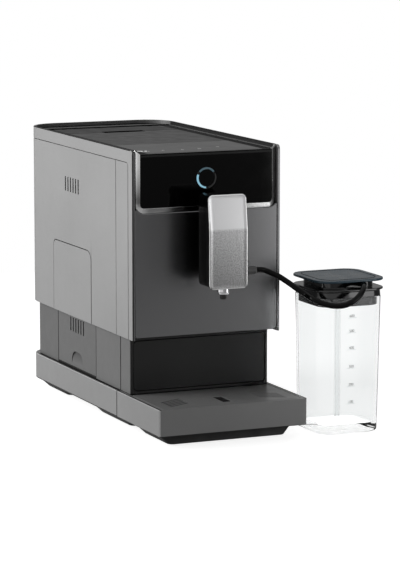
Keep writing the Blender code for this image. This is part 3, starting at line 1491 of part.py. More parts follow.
def make_tank():
    """Water tank with its outlet spigot, the seat under it, and its hinged lid on a pin."""
    outer = rounded(-TANK_HALF, TANK_HALF, TANK_FRONT, TANK_REAR, TANK_CORNER)
    inner = rounded(
        -TANK_HALF + TANK_WALL,
        TANK_HALF - TANK_WALL,
        TANK_FRONT + TANK_WALL,
        TANK_REAR - TANK_WALL,
        TANK_CORNER - TANK_WALL,
    )
    tank = loft(
        "water_tank",
        [
            level(outer, TANK_BOTTOM),
            level(outer, TANK_TOP),
            level(inner, TANK_TOP),
            level(inner, TANK_BOTTOM + TANK_FLOOR),
        ],
    )
    middle_y = (TANK_FRONT + TANK_REAR) / 2
    spigot_centre = (TANK_SPIGOT_X, middle_y)
    spigot_low = TANK_BOTTOM - TANK_SPIGOT_DROP
    spigot = turned(
        "tank_spigot", [(TANK_SPIGOT, spigot_low), (TANK_SPIGOT, TANK_BOTTOM + WELD)], spigot_centre, steps=16
    )
    outlet = turned(
        "tank_outlet",
        [(TANK_SPIGOT / 2, spigot_low - OVERRUN), (TANK_SPIGOT / 2, TANK_BOTTOM + TANK_FLOOR + OVERRUN)],
        spigot_centre,
        steps=12,
    )
    add(tank, spigot)
    cut(tank, outlet)
    finish(tank, (0.62, 0.68, 0.70), 0.2, 0.0, 0.5)

    seat_top = TANK_BOTTOM - FIT
    seat_rear = DEPTH - REAR_CORNER
    seat = block(
        "tank_seat",
        -TANK_HALF,
        TANK_HALF,
        MID_BULKHEAD + BULKHEAD_THICK + FIT,
        seat_rear,
        seat_top - SEAT_THICK,
        seat_top,
    )
    cup = turned(
        "seat_cup",
        [(SEAT_CUP, seat_top - SEAT_THICK - TANK_SPIGOT_DROP), (SEAT_CUP, seat_top - WELD)],
        spigot_centre,
        steps=16,
    )
    hollow = turned(
        "seat_hollow",
        [(TANK_SPIGOT + SEAM, spigot_low - FIT), (TANK_SPIGOT + SEAM, seat_top + OVERRUN)],
        spigot_centre,
        steps=16,
    )
    add(seat, cup)
    cut(seat, hollow)
    finish(seat, (0.18, 0.18, 0.18), 0.5)

    lid_half = RECESS_HALF - FIT
    lid_low = LID_TOP - LID_THICK
    barrel = LID_THICK / 2
    pin_y = TANK_LID_REAR - barrel
    pin_z = LID_TOP - barrel
    side = [
        (TANK_LID_FRONT + EDGE, lid_low),
        (TANK_LID_FRONT, lid_low + EDGE),
        (TANK_LID_FRONT, LID_TOP - EDGE),
        (TANK_LID_FRONT + EDGE, LID_TOP),
    ]
    side += arc(pin_y, pin_z, barrel, 90, -90, 2 * ARC_STEPS)
    lid = slab("tank_lid", side, -lid_half, lid_half, facing_x)
    ear_radius = barrel - FIT
    for way in (-1, 1):
        ear_low = way * EAR_X - EAR_LENGTH / 2
        ear_high = way * EAR_X + EAR_LENGTH / 2
        ear = turned("tank_ear", [(ear_radius, ear_low), (ear_radius, ear_high)], (pin_y, pin_z), facing_x)
        foot_front = TANK_REAR - TANK_WALL + EAR_STEP
        foot_rear = TANK_REAR - EAR_STEP
        foot = block("tank_ear_foot", ear_low, ear_high, foot_front, foot_rear, TANK_TOP - OVERRUN, pin_z)
        add(tank, ear, foot)
        pocket = block(
            "lid_pocket",
            ear_low - SEAM,
            ear_high + SEAM,
            pin_y - barrel - SEAM,
            TANK_LID_REAR + OVERRUN,
            lid_low - OVERRUN,
            LID_TOP + OVERRUN,
        )
        cut(lid, pocket)
    bores = []
    for name in ("lid_pin_bore", "tank_pin_bore"):
        radius = PIN_RADIUS + PIN_CLEARANCE
        bores.append(turned(name, [(radius, -TANK_HALF), (radius, TANK_HALF)], (pin_y, pin_z), facing_x, 16))
    cut(lid, bores[0])
    cut(tank, bores[1])
    finger_rear = TANK_LID_FRONT + FINGER_DEPTH
    finger = rounded(-FINGER_HALF, FINGER_HALF, TANK_LID_FRONT - OVERRUN, finger_rear, (0, 0, LIP, LIP))
    cut(lid, slab("tank_finger_cut", finger, lid_low - OVERRUN, LID_TOP + OVERRUN))
    pin_half = EAR_X + EAR_LENGTH / 2 + PIN_PROUD
    pin_side = [(PIN_RADIUS, -pin_half), (PIN_RADIUS, pin_half)]
    pin = turned("tank_lid_pin", pin_side, (pin_y, pin_z), facing_x, 16)
    finish(lid, (0.33, 0.33, 0.33), 0.35)
    finish(pin, (0.70, 0.70, 0.70), 0.3, 1.0)
    carry(pivot("tank_pivot", (0, middle_y, TANK_BOTTOM)), tank, pin)
    carry(pivot("tank_lid_pivot", (0, pin_y, pin_z)), lid)


def make_inlet(rear):
    """Mains inlet socket with its blades, and the two screws that hold it."""
    outer = box_outline(INLET_X, INLET_HEIGHT, INLET_HALF_WIDTH, INLET_HALF_HEIGHT, 0)
    bezel_x = SCREW_SPREAD + SCREW_HEAD + INLET_WALL
    bezel = box_outline(
        INLET_X, INLET_HEIGHT, bezel_x, INLET_HALF_HEIGHT + INLET_BEZEL, INLET_BEZEL
    )
    face = rear + FIT
    inlet = slab("mains_inlet", outer, rear - INLET_DEPTH, face + WELD, facing_y)
    add(inlet, slab("inlet_bezel", bezel, face, face + INLET_WALL, facing_y))
    hollow = box_outline(
        INLET_X, INLET_HEIGHT, INLET_HALF_WIDTH - INLET_WALL, INLET_HALF_HEIGHT - INLET_WALL, 0
    )
    floor = rear - INLET_DEPTH + INLET_WALL
    cut(inlet, slab("inlet_hollow", hollow, floor, face + OVERRUN, facing_y))
    for spread_share, lift_share in BLADE_SHARES:
        blade = box_outline(
            INLET_X + spread_share * BLADE_SPREAD,
            INLET_HEIGHT + lift_share * INLET_HALF_HEIGHT,
            BLADE_THICK / 2,
            BLADE_HEIGHT / 2,
            0,
        )
        add(inlet, slab("inlet_blade", blade, floor - WELD, floor + BLADE_LENGTH, facing_y))
    for side, way in (("left", -1), ("right", 1)):
        centre = (INLET_X + way * SCREW_SPREAD, INLET_HEIGHT)
        hole = turned(
            "bezel_hole",
            [(SCREW_SHANK + FIT, face - OVERRUN), (SCREW_SHANK + FIT, face + OVERRUN)],
            centre,
            facing_y,
            12,
        )
        cut(inlet, hole)
        head = face + INLET_WALL + FIT
        screw = turned(
            "inlet_screw_" + side,
            [
                (SCREW_SHANK, head - SCREW_LENGTH),
                (SCREW_SHANK, head),
                (SCREW_HEAD, head),
                (SCREW_HEAD - EDGE, head + SCREW_SHANK),
            ],
            centre,
            facing_y,
            16,
        )
        finish(screw, (0.60, 0.60, 0.60), 0.3, 1.0)
    finish(inlet, (0.08, 0.08, 0.08), 0.5)


def make_tray():
    """Drip tray drawer: skirt, basin, grate, float, grounds container and its front."""
    skirt_corners = (TRAY_CORNER, TRAY_CORNER, 0, 0)
    skirt_wall = rounded(-SKIRT_HALF, SKIRT_HALF, TRAY_FRONT, LOWER_BLOCK_REAR, skirt_corners)
    low = SKIRT_BOTTOM
    skirt = slab("tray_skirt", skirt_wall, low, SKIRT_TOP)
    pocket = rounded(
        -SKIRT_HALF + TRAY_RIM,
        SKIRT_HALF - TRAY_RIM,
        TRAY_FRONT + TRAY_RIM,
        LOWER_BLOCK_REAR + OVERRUN,
        (GRATE_CORNER, GRATE_CORNER, 0, 0),
    )
    cavity = rounded(
        -SKIRT_HALF + TRAY_WALL,
        SKIRT_HALF - TRAY_WALL,
        TRAY_FRONT + TRAY_WALL,
        LOWER_BLOCK_REAR + OVERRUN,
        0,
    )
    rim_low = BASIN_TOP - TRAY_WALL
    cut(
        skirt,
        slab("skirt_pocket", pocket, low - OVERRUN, SKIRT_TOP + OVERRUN),
        slab("skirt_cavity", cavity, low - OVERRUN, rim_low),
    )
    finish(skirt, (0.46, 0.45, 0.44), 0.45)

    basin_front = TRAY_FRONT + TRAY_RIM + FIT
    basin_low = BASE_TOP + FIT
    outer = rounded(-BASIN_HALF, BASIN_HALF, basin_front, BASIN_REAR, TRAY_CORNER)
    inner = rounded(
        -BASIN_HALF + BASIN_WALL,
        BASIN_HALF - BASIN_WALL,
        basin_front + BASIN_WALL,
        BASIN_REAR - BASIN_WALL,
        TRAY_CORNER - BASIN_WALL,
    )
    basin = loft(
        "tray_basin",
        [
            level(outer, basin_low),
            level(outer, BASIN_TOP),
            level(inner, BASIN_TOP),
            level(inner, basin_low + BASIN_FLOOR),
        ],
    )
    guide_x = FLOAT_HALF_X + FLOAT_CLEARANCE
    float_floor = basin_low + BASIN_FLOOR
    for way in (-1, 1):
        near = way * guide_x
        far = way * (guide_x + BASIN_WALL)
        guide = block(
            "float_guide",
            min(near, far),
            max(near, far),
            FLOAT_FRONT,
            FLOAT_REAR,
            float_floor - WELD,
            float_floor + FLOAT_LIFT,
        )
        add(basin, guide)
    finish(basin, (0.06, 0.06, 0.06), 0.4)

    grate_half = SKIRT_HALF - TRAY_RIM - SEAM
    grate_front = TRAY_FRONT + TRAY_RIM + SEAM
    grate_low = SKIRT_TOP - GRATE_THICK
    grate = eased(
        "drip_grate",
        (-grate_half, grate_half, grate_front, GRATE_REAR),
        GRATE_CORNER,
        grate_low,
        SKIRT_TOP,
        edge=EDGE / 2,
    )
    leg_low = BASIN_TOP + FIT
    leg_front = basin_front + BASIN_WALL
    for way in (-1, 1):
        near = way * (BASIN_HALF - BASIN_WALL)
        far = way * (BASIN_HALF - EDGE)
        for start in (leg_front, GRATE_REAR - GRATE_LIFT_LEG - GRATE_CORNER):
            leg = block(
                "grate_leg",
                min(near, far),
                max(near, far),
                start,
                start + GRATE_LIFT_LEG,
                leg_low,
                grate_low + WELD,
            )
            add(grate, leg)
    run = SLIT_LENGTH
    pitch = (SLIT_REAR - SLIT_FRONT - run / 2) / (SLIT_COUNT - 1)
    for way in (-1, 1):
        for index in range(SLIT_COUNT):
            start = SLIT_FRONT + pitch * index
            slit = [
                (way * SLIT_NEAR, start + run / 2),
                (way * SLIT_FAR, start),
                (way * SLIT_FAR, start + SLIT_WIDTH),
                (way * SLIT_NEAR, start + run / 2 + SLIT_WIDTH),
            ]
            cut(grate, slab("grate_slit", slit, grate_low - OVERRUN, SKIRT_TOP + OVERRUN))
    window = rounded(
        -FLOAT_HALF_X - FLOAT_CLEARANCE,
        FLOAT_HALF_X + FLOAT_CLEARANCE,
        FLOAT_FRONT - FLOAT_CLEARANCE,
        FLOAT_REAR + FLOAT_CLEARANCE,
        0,
    )
    cut(grate, slab("float_window", window, grate_low - OVERRUN, SKIRT_TOP + OVERRUN))
    finish(grate, (0.52, 0.52, 0.52), 0.35, 1.0)

    float_low = float_floor + FIT
    float_body = block(
        "tray_float", -FLOAT_HALF_X, FLOAT_HALF_X, FLOAT_FRONT, FLOAT_REAR, float_low, SKIRT_TOP - FLOAT_PROUD
    )
    finish(float_body, (0.55, 0.08, 0.06), 0.4)

    runner_low = BASIN_TOP + FIT
    container_low = runner_low + WELD / 2
    container_front = LOWER_FRONT + DRAWER_PANEL_THICK + 2 * WALL + FIT
    sides = (container_front, CONTAINER_REAR)
    taper = CONTAINER_TAPER
    wall = CONTAINER_WALL

    def bin_outline(inset):
        return rounded(
            -CONTAINER_HALF + inset,
            CONTAINER_HALF - inset,
            sides[0] + inset,
            sides[1] - inset,
            CONTAINER_CORNER,
        )

    container = loft(
        "grounds_container",
        [
            level(bin_outline(taper), container_low),
            level(bin_outline(0), CONTAINER_TOP),
            level(bin_outline(wall), CONTAINER_TOP),
            level(bin_outline(taper + wall), container_low + wall),
        ],
    )
    runner = block(
        "container_runner",
        -BASIN_HALF + SEAM,
        BASIN_HALF - SEAM,
        container_front + CONTAINER_CORNER,
        CONTAINER_REAR - CONTAINER_CORNER,
        runner_low,
        runner_low + RUNNER_THICK,
    )
    add(container, runner)
    finish(container, (0.10, 0.10, 0.10), 0.5)

    block_low = SKIRT_TOP + FIT
    block_high = HOUSING_BOTTOM - SEAM
    shell_front = LOWER_FRONT + DRAWER_PANEL_THICK
    shell_sides = rounded(-LOWER_HALF, LOWER_HALF, LOWER_FRONT, LOWER_BLOCK_REAR, 0)
    drawer = slab("drawer_block", shell_sides, block_low, block_high)
    inside = rounded(
        -LOWER_HALF + WALL, LOWER_HALF - WALL, shell_front + WALL, LOWER_BLOCK_REAR + OVERRUN, 0
    )
    panel_outline = rounded(
        -DRAWER_PANEL_HALF - FIT,
        DRAWER_PANEL_HALF + FIT,
        DRAWER_PANEL_BOTTOM - FIT,
        DRAWER_PANEL_TOP + FIT,
        DRAWER_CORNER,
    )
    cut(
        drawer,
        slab("drawer_inside", inside, block_low - OVERRUN, block_high + OVERRUN),
        slab("drawer_panel_seat", panel_outline, LOWER_FRONT - OVERRUN, shell_front, facing_y),
    )
    finish(drawer, (0.44, 0.44, 0.43), 0.5)
    front_panel = eased(
        "drawer_panel",
        (-DRAWER_PANEL_HALF, DRAWER_PANEL_HALF, DRAWER_PANEL_BOTTOM, DRAWER_PANEL_TOP),
        DRAWER_CORNER,
        LOWER_FRONT,
        shell_front - FIT,
        facing_y,
    )
    finish(front_panel, (0.13, 0.13, 0.13), 0.3)

    carry(
        pivot("drawer_pivot", (0, LOWER_FRONT, SKIRT_TOP)), skirt, basin, container, drawer, front_panel
    )
    carry(pivot("grate_pivot", (0, GRATE_REAR, SKIRT_TOP)), grate)
    carry(pivot("float_pivot", (0, (FLOAT_FRONT + FLOAT_REAR) / 2, SKIRT_TOP)), float_body)


def lean_back(item, rear):
    """Tilts the upper part backwards above the bend line, most at the front face."""
    shape = bmesh.new()
    shape.from_mesh(item.data)
    everything = shape.verts[:] + shape.edges[:] + shape.faces[:]
    bmesh.ops.bisect_plane(shape, geom=everything, plane_co=(0, 0, SPOUT_BEND), plane_no=(0, 0, 1))
    depth = rear - SPOUT_FACE
    for vertex in shape.verts:
        rise = (vertex.co.z - SPOUT_BEND) / (SPOUT_TOP - SPOUT_BEND)
        if rise > 0:
            share = (rear - vertex.co.y) / depth
            vertex.co.y += SPOUT_LEAN * rise * min(share, 1)
    shape.to_mesh(item.data)
    shape.free()


def make_spout():
    """Height-adjustable spout: metal plate, two-part black body, nozzle and hose collar."""
    sides = (-SPOUT_HALF, SPOUT_HALF, SPOUT_BOTTOM, SPOUT_TOP)
    rear = SPOUT_FACE + SPOUT_PLATE

    def outline(inset, corner):
        return rounded(sides[0] + inset, sides[1] - inset, sides[2] + inset, sides[3] - inset, corner)

    plate = loft(
        "spout_plate",
        [
            facing_y(outline(EDGE, SPOUT_CORNER - EDGE), rear),
            facing_y(outline(0, SPOUT_CORNER), rear - EDGE),
            facing_y(outline(0, SPOUT_CORNER), SPOUT_FACE + EDGE),
            facing_y(outline(EDGE, SPOUT_CORNER - EDGE), SPOUT_FACE),
            facing_y(outline(SPOUT_RIM, SPOUT_CORNER - SPOUT_RIM), SPOUT_FACE),
            facing_y(outline(SPOUT_RIM + EDGE, SPOUT_CORNER - SPOUT_RIM - EDGE), SPOUT_FACE + SPOUT_RIM_DEPTH),
        ],
    )
    lean_back(plate, SPOUT_SPLIT)
    finish(plate, (0.72, 0.72, 0.72), 0.35, 1.0)

    low = SPOUT_BOTTOM + SPOUT_BODY_INSET
    high = SPOUT_TOP - SPOUT_BODY_INSET
    body_half = SPOUT_BODY_HALF
    corner = SPOUT_CORNER - SPOUT_BODY_INSET
    front = loft(
        "spout_front_shell",
        [
            facing_y(rounded(-body_half, body_half, low, high, corner), rear + FIT),
            facing_y(rounded(-body_half, body_half, low, high, corner), SPOUT_SPLIT - FIT),
        ],
    )
    lean_back(front, SPOUT_SPLIT)
    catch = block(
        "hose_catch", body_half - WELD, body_half + CATCH_REACH, CATCH_FRONT, CATCH_REAR, CATCH_LOW, CATCH_HIGH
    )
    add(front, catch)
    finish(front, (0.05, 0.05, 0.05), 0.3)

    inset = EDGE * 2
    rear_corner = SPOUT_REAR_CORNER
    narrow_half = body_half - rear_corner / 2
    rear_shell = loft(
        "spout_rear_shell",
        [
            facing_y(rounded(-body_half + EDGE, body_half - EDGE, low, high, corner), SPOUT_SPLIT),
            facing_y(
                rounded(-body_half + EDGE, body_half - EDGE, low, high, corner), SPOUT_REAR - rear_corner
            ),
            facing_y(
                rounded(-narrow_half, narrow_half, low + rear_corner / 2, high - inset, corner),
                SPOUT_REAR,
            ),
        ],
    )
    neck_sides = (-NECK_HALF, NECK_HALF, SPOUT_REAR - WELD, SLIDER_REAR - WELD)
    neck = block("spout_neck", *neck_sides, NECK_BOTTOM, NECK_TOP)
    slider = block("spout_slider", -SLIDER_HALF, SLIDER_HALF, SLIDER_FRONT, SLIDER_REAR, NECK_BOTTOM, NECK_TOP)
    add(rear_shell, neck, slider)
    rib_depth = (SPOUT_REAR - rear_corner - SPOUT_SPLIT) / 2
    for index in range(RIB_COUNT):
        rib_low = RIB_FIRST + RIB_PITCH * index
        rib = block(
            "spout_rib",
            -body_half - RIB_PROUD + EDGE,
            body_half + RIB_PROUD - EDGE,
            SPOUT_SPLIT + inset,
            SPOUT_SPLIT + inset + rib_depth,
            rib_low,
            rib_low + RIB_PITCH / 2,
        )
        add(rear_shell, rib)
    finish(rear_shell, (0.05, 0.05, 0.05), 0.4)

    nozzle_high = low - FIT
    nozzle_low = nozzle_high - NOZZLE_HEIGHT
    centre = (NOZZLE_X, NOZZLE_Y)
    nozzle = turned(
        "coffee_nozzle",
        [
            (TIP_BORE, nozzle_low),
            (NOZZLE_RADIUS - EDGE, nozzle_low),
            (NOZZLE_RADIUS, nozzle_low + EDGE),
            (NOZZLE_RADIUS, nozzle_high),
            (TIP_BORE, nozzle_high),
        ],
        centre,
        ring=True,
    )
    tip_high = nozzle_low - FIT
    tip = turned(
        "nozzle_tip",
        [
            (TIP_BORE, tip_high - TIP_HEIGHT),
            (TIP_RADIUS - EDGE, tip_high - TIP_HEIGHT),
            (TIP_RADIUS, tip_high - TIP_HEIGHT + EDGE),
            (TIP_RADIUS, tip_high),
            (TIP_BORE, tip_high),
        ],
        centre,
        ring=True,
        steps=20,
    )
    finish(nozzle, (0.80, 0.80, 0.80), 0.15, 1.0)
    finish(tip, (0.05, 0.05, 0.05), 0.4)

    side = body_half - EDGE + FIT
    collar = turned(
        "hose_collar",
        [
            (COLLAR_WASHER, side),
            (COLLAR_WASHER, side + COLLAR_WASHER_THICK),
            (COLLAR_RADIUS, side + COLLAR_WASHER_THICK),
            (COLLAR_RADIUS, side + COLLAR_LENGTH - EDGE),
            (COLLAR_RADIUS - EDGE, side + COLLAR_LENGTH),
        ],
        (COLLAR_Y, COLLAR_Z),
        facing_x,
        20,
    )
    finish(collar, (0.10, 0.10, 0.10), 0.3)
    carry(
        pivot("spout_pivot", (0, SPOUT_REAR, SPOUT_BOTTOM)), plate, front, rear_shell, nozzle, tip, collar
    )


def smooth_route(points, spacing):
    """Evenly spaced points on a smooth curve through the route's own points."""
    route = [Vector(point) for point in points]
    ends = [route[0] * 2 - route[1]] + route + [route[-1] * 2 - route[-2]]
    fine = []
    parts = 12
    for index in range(1, len(ends) - 2):
        before, start, end, after = ends[index - 1 : index + 3]
        for step in range(parts):
            t = step / parts
            fine.append(
                0.5
                * (
                    2 * start
                    + (end - before) * t
                    + (2 * before - 5 * start + 4 * end - after) * t**2
                    + (3 * start - before - 3 * end + after) * t**3
                )
            )
    fine.append(route[-1])
    total = sum((b - a).length for a, b in zip(fine, fine[1:]))
    count = round(total / spacing)
    found = [fine[0]]
    gone = 0.0
    for a, b in zip(fine, fine[1:]):
        stretch = (b - a).length
        while len(found) < count and gone + stretch >= total * len(found) / count:
            found.append(a.lerp(b, (total * len(found) / count - gone) / stretch))
        gone += stretch
    found.append(fine[-1])
    return found


def make_hose():
    """Milk hose from the spout's collar to the jug's lid."""
    curve = bpy.data.curves.new("milk_hose", "CURVE")
    curve.dimensions = "3D"
    curve.bevel_depth = HOSE_RADIUS
    curve.bevel_resolution = 3
    curve.use_fill_caps = True
    route = smooth_route(HOSE_POINTS, HOSE_SPACING)
    spline = curve.splines.new("POLY")
    spline.points.add(len(route) - 1)
    for point, place in zip(spline.points, route):
        point.co = (*place, 1.0)
    hose = bpy.data.objects.new("milk_hose", curve)
    bpy.context.scene.collection.objects.link(hose)
    finish(hose, (0.05, 0.05, 0.05), 0.25)


def make_jug():
    """Clear milk jug with its lid base, lift-off cap and pickup tube."""

    def around(half, corner, half_y=None):
        return box_outline(JUG_X, JUG_Y, half, half if half_y is None else half_y, corner)

    jug = loft(
        "milk_jug",
        [
            level(around(JUG_FOOT_HALF - EDGE, JUG_FOOT_CORNER - EDGE), 0),
            level(around(JUG_FOOT_HALF, JUG_FOOT_CORNER), EDGE),
            level(around(JUG_TOP_HALF, JUG_TOP_CORNER), JUG_HEIGHT),
            level(around(JUG_TOP_HALF - JUG_WALL, JUG_TOP_CORNER - JUG_WALL), JUG_HEIGHT),
            level(around(JUG_FOOT_HALF - JUG_WALL, JUG_FOOT_CORNER - JUG_WALL), JUG_BASE),
        ],
    )
    finish(jug, (0.90, 0.92, 0.93), 0.1, 0.0, 0.3)

    skirt_half = JUG_TOP_HALF - JUG_WALL - SEAM
    skirt_corner = JUG_TOP_CORNER - JUG_WALL - SEAM
    rest = JUG_HEIGHT + FIT
    flange_low = JUG_COLLAR_TOP
    neck_top = NECK_BASE_Z + JUG_NECK_HEIGHT
    base = loft(
        "jug_lid_base",
        [
            level(around(skirt_half - EDGE, skirt_corner - EDGE), JUG_HEIGHT - JUG_SKIRT_DROP),
            level(around(skirt_half - EDGE, skirt_corner - EDGE), rest),
            level(around(JUG_TOP_HALF, JUG_TOP_CORNER), rest),
            level(around(JUG_TOP_HALF - EDGE, JUG_TOP_CORNER - EDGE), flange_low),
            level(around(JUG_FLANGE_HALF, JUG_CAP_CORNER), flange_low + EDGE),
            level(around(JUG_FLANGE_HALF, JUG_CAP_CORNER), NECK_BASE_Z - EDGE),
            level(around(JUG_FLANGE_HALF - EDGE, JUG_CAP_CORNER - EDGE), NECK_BASE_Z),
            level(around(JUG_NECK_HALF, JUG_NECK_CORNER), NECK_BASE_Z),
            level(around(JUG_NECK_HALF, JUG_NECK_CORNER), neck_top),
        ],
    )
    centre = (JUG_X, JUG_Y)
    socket = turned(
        "lid_socket",
        [(JUG_SOCKET_RADIUS, neck_top - JUG_SOCKET_DEPTH), (JUG_SOCKET_RADIUS, neck_top + OVERRUN)],
        centre,
    )
    cut(base, socket)
    finish(base, (0.12, 0.13, 0.13), 0.35)

    cap_low = neck_top + FIT
    cap = eased(
        "jug_cap",
        (JUG_X - JUG_CAP_HALF_X, JUG_X + JUG_CAP_HALF_X, JUG_Y - JUG_CAP_HALF_Y, JUG_Y + JUG_CAP_HALF_Y),
        JUG_CAP_CORNER,
        cap_low,
        cap_low + JUG_CAP_THICK,
    )
    spigot_radius = JUG_SOCKET_RADIUS - JUG_SPIGOT_CLEARANCE
    spigot = turned(
        "cap_spigot",
        [(spigot_radius, neck_top - JUG_SOCKET_DEPTH + SEAM), (spigot_radius, cap_low + WELD)],
        centre,
    )
    add(cap, spigot)
    finish(cap, (0.37, 0.39, 0.40), 0.4)
    carry(pivot("jug_cap_pivot", (JUG_X, JUG_Y, cap_low)), cap)

    tube_top = JUG_HEIGHT - JUG_SKIRT_DROP - FIT
    tube = turned(
        "pickup_tube",
        [
            (PICKUP_BORE, JUG_BASE + PICKUP_FOOT),
            (PICKUP_RADIUS, JUG_BASE + PICKUP_FOOT),
            (PICKUP_RADIUS, tube_top),
            (PICKUP_BORE, tube_top),
        ],
        centre,
        ring=True,
        steps=12,
    )
    finish(tube, (0.85, 0.86, 0.86), 0.3)


def main():
    clear_scene()
    make_top_frame()
    make_side_strip("left", -1)
    make_side_strip("right", 1)
    make_housing_shell()
    make_service_door()
    rear = make_lower_housing()
    make_base()
    make_front()
    make_top()
    make_hopper()
    make_grinder()
    make_inner_frame()
    make_brew_group()
    make_hydraulics()
    make_boards()
    make_tank()
    make_inlet(rear)
    make_tray()
    make_spout()
    make_hose()
    make_jug()


main()
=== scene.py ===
import math

import bmesh
import bpy
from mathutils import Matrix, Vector


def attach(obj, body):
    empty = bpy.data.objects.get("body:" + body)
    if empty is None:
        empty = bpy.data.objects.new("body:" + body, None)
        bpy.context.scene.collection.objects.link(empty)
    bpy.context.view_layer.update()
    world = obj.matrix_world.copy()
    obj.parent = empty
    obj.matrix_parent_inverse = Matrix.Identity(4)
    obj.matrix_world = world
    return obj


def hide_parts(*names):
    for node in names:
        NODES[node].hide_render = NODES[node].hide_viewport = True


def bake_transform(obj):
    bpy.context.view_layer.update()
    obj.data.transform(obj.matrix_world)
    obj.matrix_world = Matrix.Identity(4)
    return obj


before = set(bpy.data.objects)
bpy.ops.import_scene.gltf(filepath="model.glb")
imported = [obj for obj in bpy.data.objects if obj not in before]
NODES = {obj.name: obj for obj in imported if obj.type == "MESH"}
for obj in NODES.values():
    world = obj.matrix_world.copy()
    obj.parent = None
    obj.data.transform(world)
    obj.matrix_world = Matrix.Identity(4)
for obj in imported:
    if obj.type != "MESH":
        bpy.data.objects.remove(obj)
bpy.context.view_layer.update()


SCENE = bpy.context.scene

# The camera, fitted to the photo's straight edges. Its angles are in degrees, its lens in millimetres.
CAMERA_AT = (-1.2242, -2.8011, 0.6367)
CAMERA_YAW = 23.462
CAMERA_PITCH = 8.73
CAMERA_LENS = 174.03
CAMERA_SENSOR = 36.0
CAMERA_NEAR = 0.05
CAMERA_FAR = 60.0


def add_camera():
    yaw, pitch = math.radians(CAMERA_YAW), math.radians(CAMERA_PITCH)
    data = bpy.data.cameras.new("photo_camera")
    data.lens = CAMERA_LENS
    data.sensor_width = CAMERA_SENSOR
    data.sensor_fit = "AUTO"
    data.clip_start = CAMERA_NEAR
    data.clip_end = CAMERA_FAR
    camera = bpy.data.objects.new("photo_camera", data)
    camera.location = CAMERA_AT
    towards = Vector((math.sin(yaw) * math.cos(pitch), math.cos(yaw) * math.cos(pitch), -math.sin(pitch)))
    camera.rotation_euler = towards.to_track_quat("-Z", "Y").to_euler()
    SCENE.collection.objects.link(camera)
    SCENE.camera = camera


add_camera()


# Meshes and curves through points.
def loft(name, rings, loop=False, smooth=32):
    """Skin through rings of the same number of points; loop joins the last ring to the first."""
    count = len(rings[0])
    faces = []
    for first in range(len(rings) if loop else len(rings) - 1):
        second = (first + 1) % len(rings)
        for here in range(count):
            after = (here + 1) % count
            faces.append(
                (first * count + here, first * count + after, second * count + after, second * count + here)
            )
    if not loop:
        faces.append(tuple(range(count)))
        faces.append(tuple(range((len(rings) - 1) * count, len(rings) * count)))
    mesh = bpy.data.meshes.new(name)
    mesh.from_pydata([tuple(point) for ring in rings for point in ring], [], faces)
    item = bpy.data.objects.new(name, mesh)
    SCENE.collection.objects.link(item)
    return tidy(item, smooth)


def tidy(item, smooth=32, change=None):
    """Turns the faces outwards and marks the sharp edges, after an optional change to the mesh."""
    shape = bmesh.new()
    shape.from_mesh(item.data)
    if change:
        change(shape)
    bmesh.ops.recalc_face_normals(shape, faces=shape.faces)
    shape.to_mesh(item.data)
    shape.free()
    item.data.shade_smooth()
    item.data.set_sharp_from_angle(angle=math.radians(smooth))
    return item


def mesh_tube(name, points, radius, sides=24):
    """Round tube of mesh along the points."""
    rings = []
    side = None
    for index, point in enumerate(points):
        along = (points[min(index + 1, len(points) - 1)] - points[max(index - 1, 0)]).normalized()
        side = along.orthogonal() if side is None else side - along * side.dot(along)
        side.normalize()
        other = along.cross(side)
        turns = [2 * math.pi * count / sides for count in range(sides)]
        rings.append([point + radius * (math.cos(turn) * side + math.sin(turn) * other) for turn in turns])
    return loft(name, rings, smooth=50)


def curve_tube(name, points, radius):
    """Fine round stroke along the points, as a curve."""
    data = bpy.data.curves.new(name, "CURVE")
    data.dimensions = "3D"
    data.bevel_depth = radius
    data.bevel_resolution = 2
    data.use_fill_caps = True
    spline = data.splines.new("POLY")
    spline.points.add(len(points) - 1)
    for point, position in zip(spline.points, points):
        point.co = (*position, 1.0)
    spline.use_smooth = True
    item = bpy.data.objects.new(name, data)
    SCENE.collection.objects.link(item)
    return item


def smooth_route(points, steps):
    """Catmull-Rom points through the route."""
    route = [Vector(point) for point in points]
    padded = [2 * route[0] - route[1]] + route + [2 * route[-1] - route[-2]]
    found = []
    for index in range(1, len(padded) - 2):
        a, b, c, d = padded[index - 1 : index + 3]
        for step in range(steps):
            t = step / steps
            line = 2 * b + (c - a) * t
            square = (2 * a - 5 * b + 4 * c - d) * t * t
            cube = (3 * b - a - 3 * c + d) * t**3
            found.append(0.5 * (line + square + cube))
    return found + [route[-1]]


# The milk hose.
HOSE_RADIUS = 0.0032
# Steps of the smoothed route between each pair of the hose's points.
HOSE_STEPS = 4
HOSE_POINTS = (
    (0.0415, -0.0420, 0.1876),
    (0.0477, -0.0420, 0.1875),
    (0.0540, -0.0423, 0.1859),
    (0.0650, -0.0465, 0.1807),
    (0.0740, -0.0532, 0.1742),
    (0.0809, -0.0621, 0.1679),
    (0.0881, -0.0709, 0.1618),
    (0.0920, -0.0825, 0.1577),
    (0.0989, -0.0927, 0.1537),
    (0.1093, -0.0999, 0.1512),
    (0.1216, -0.1041, 0.1519),
    (0.1335, -0.1044, 0.1568),
    (0.1437, -0.0996, 0.1634),
    (0.1509, -0.0904, 0.1681),
    (0.1538, -0.0846, 0.1689),
    (0.1569, -0.0794, 0.1690),
    (0.1594, -0.0749, 0.1690),
)
HOSE_ROUTE = smooth_route(HOSE_POINTS, HOSE_STEPS)

hose = mesh_tube("milk_hose_tube", HOSE_ROUTE, HOSE_RADIUS)


# Materials.
def linear(part):
    part /= 255
    return ((part + 0.055) / 1.055) ** 2.4 if part > 0.04045 else part / 12.92


def tone(*parts):
    """Colour from one grey or three parts, each from 0 to 255."""
    if len(parts) == 1:
        parts = parts * 3
    return [linear(part) for part in parts] + [1.0]


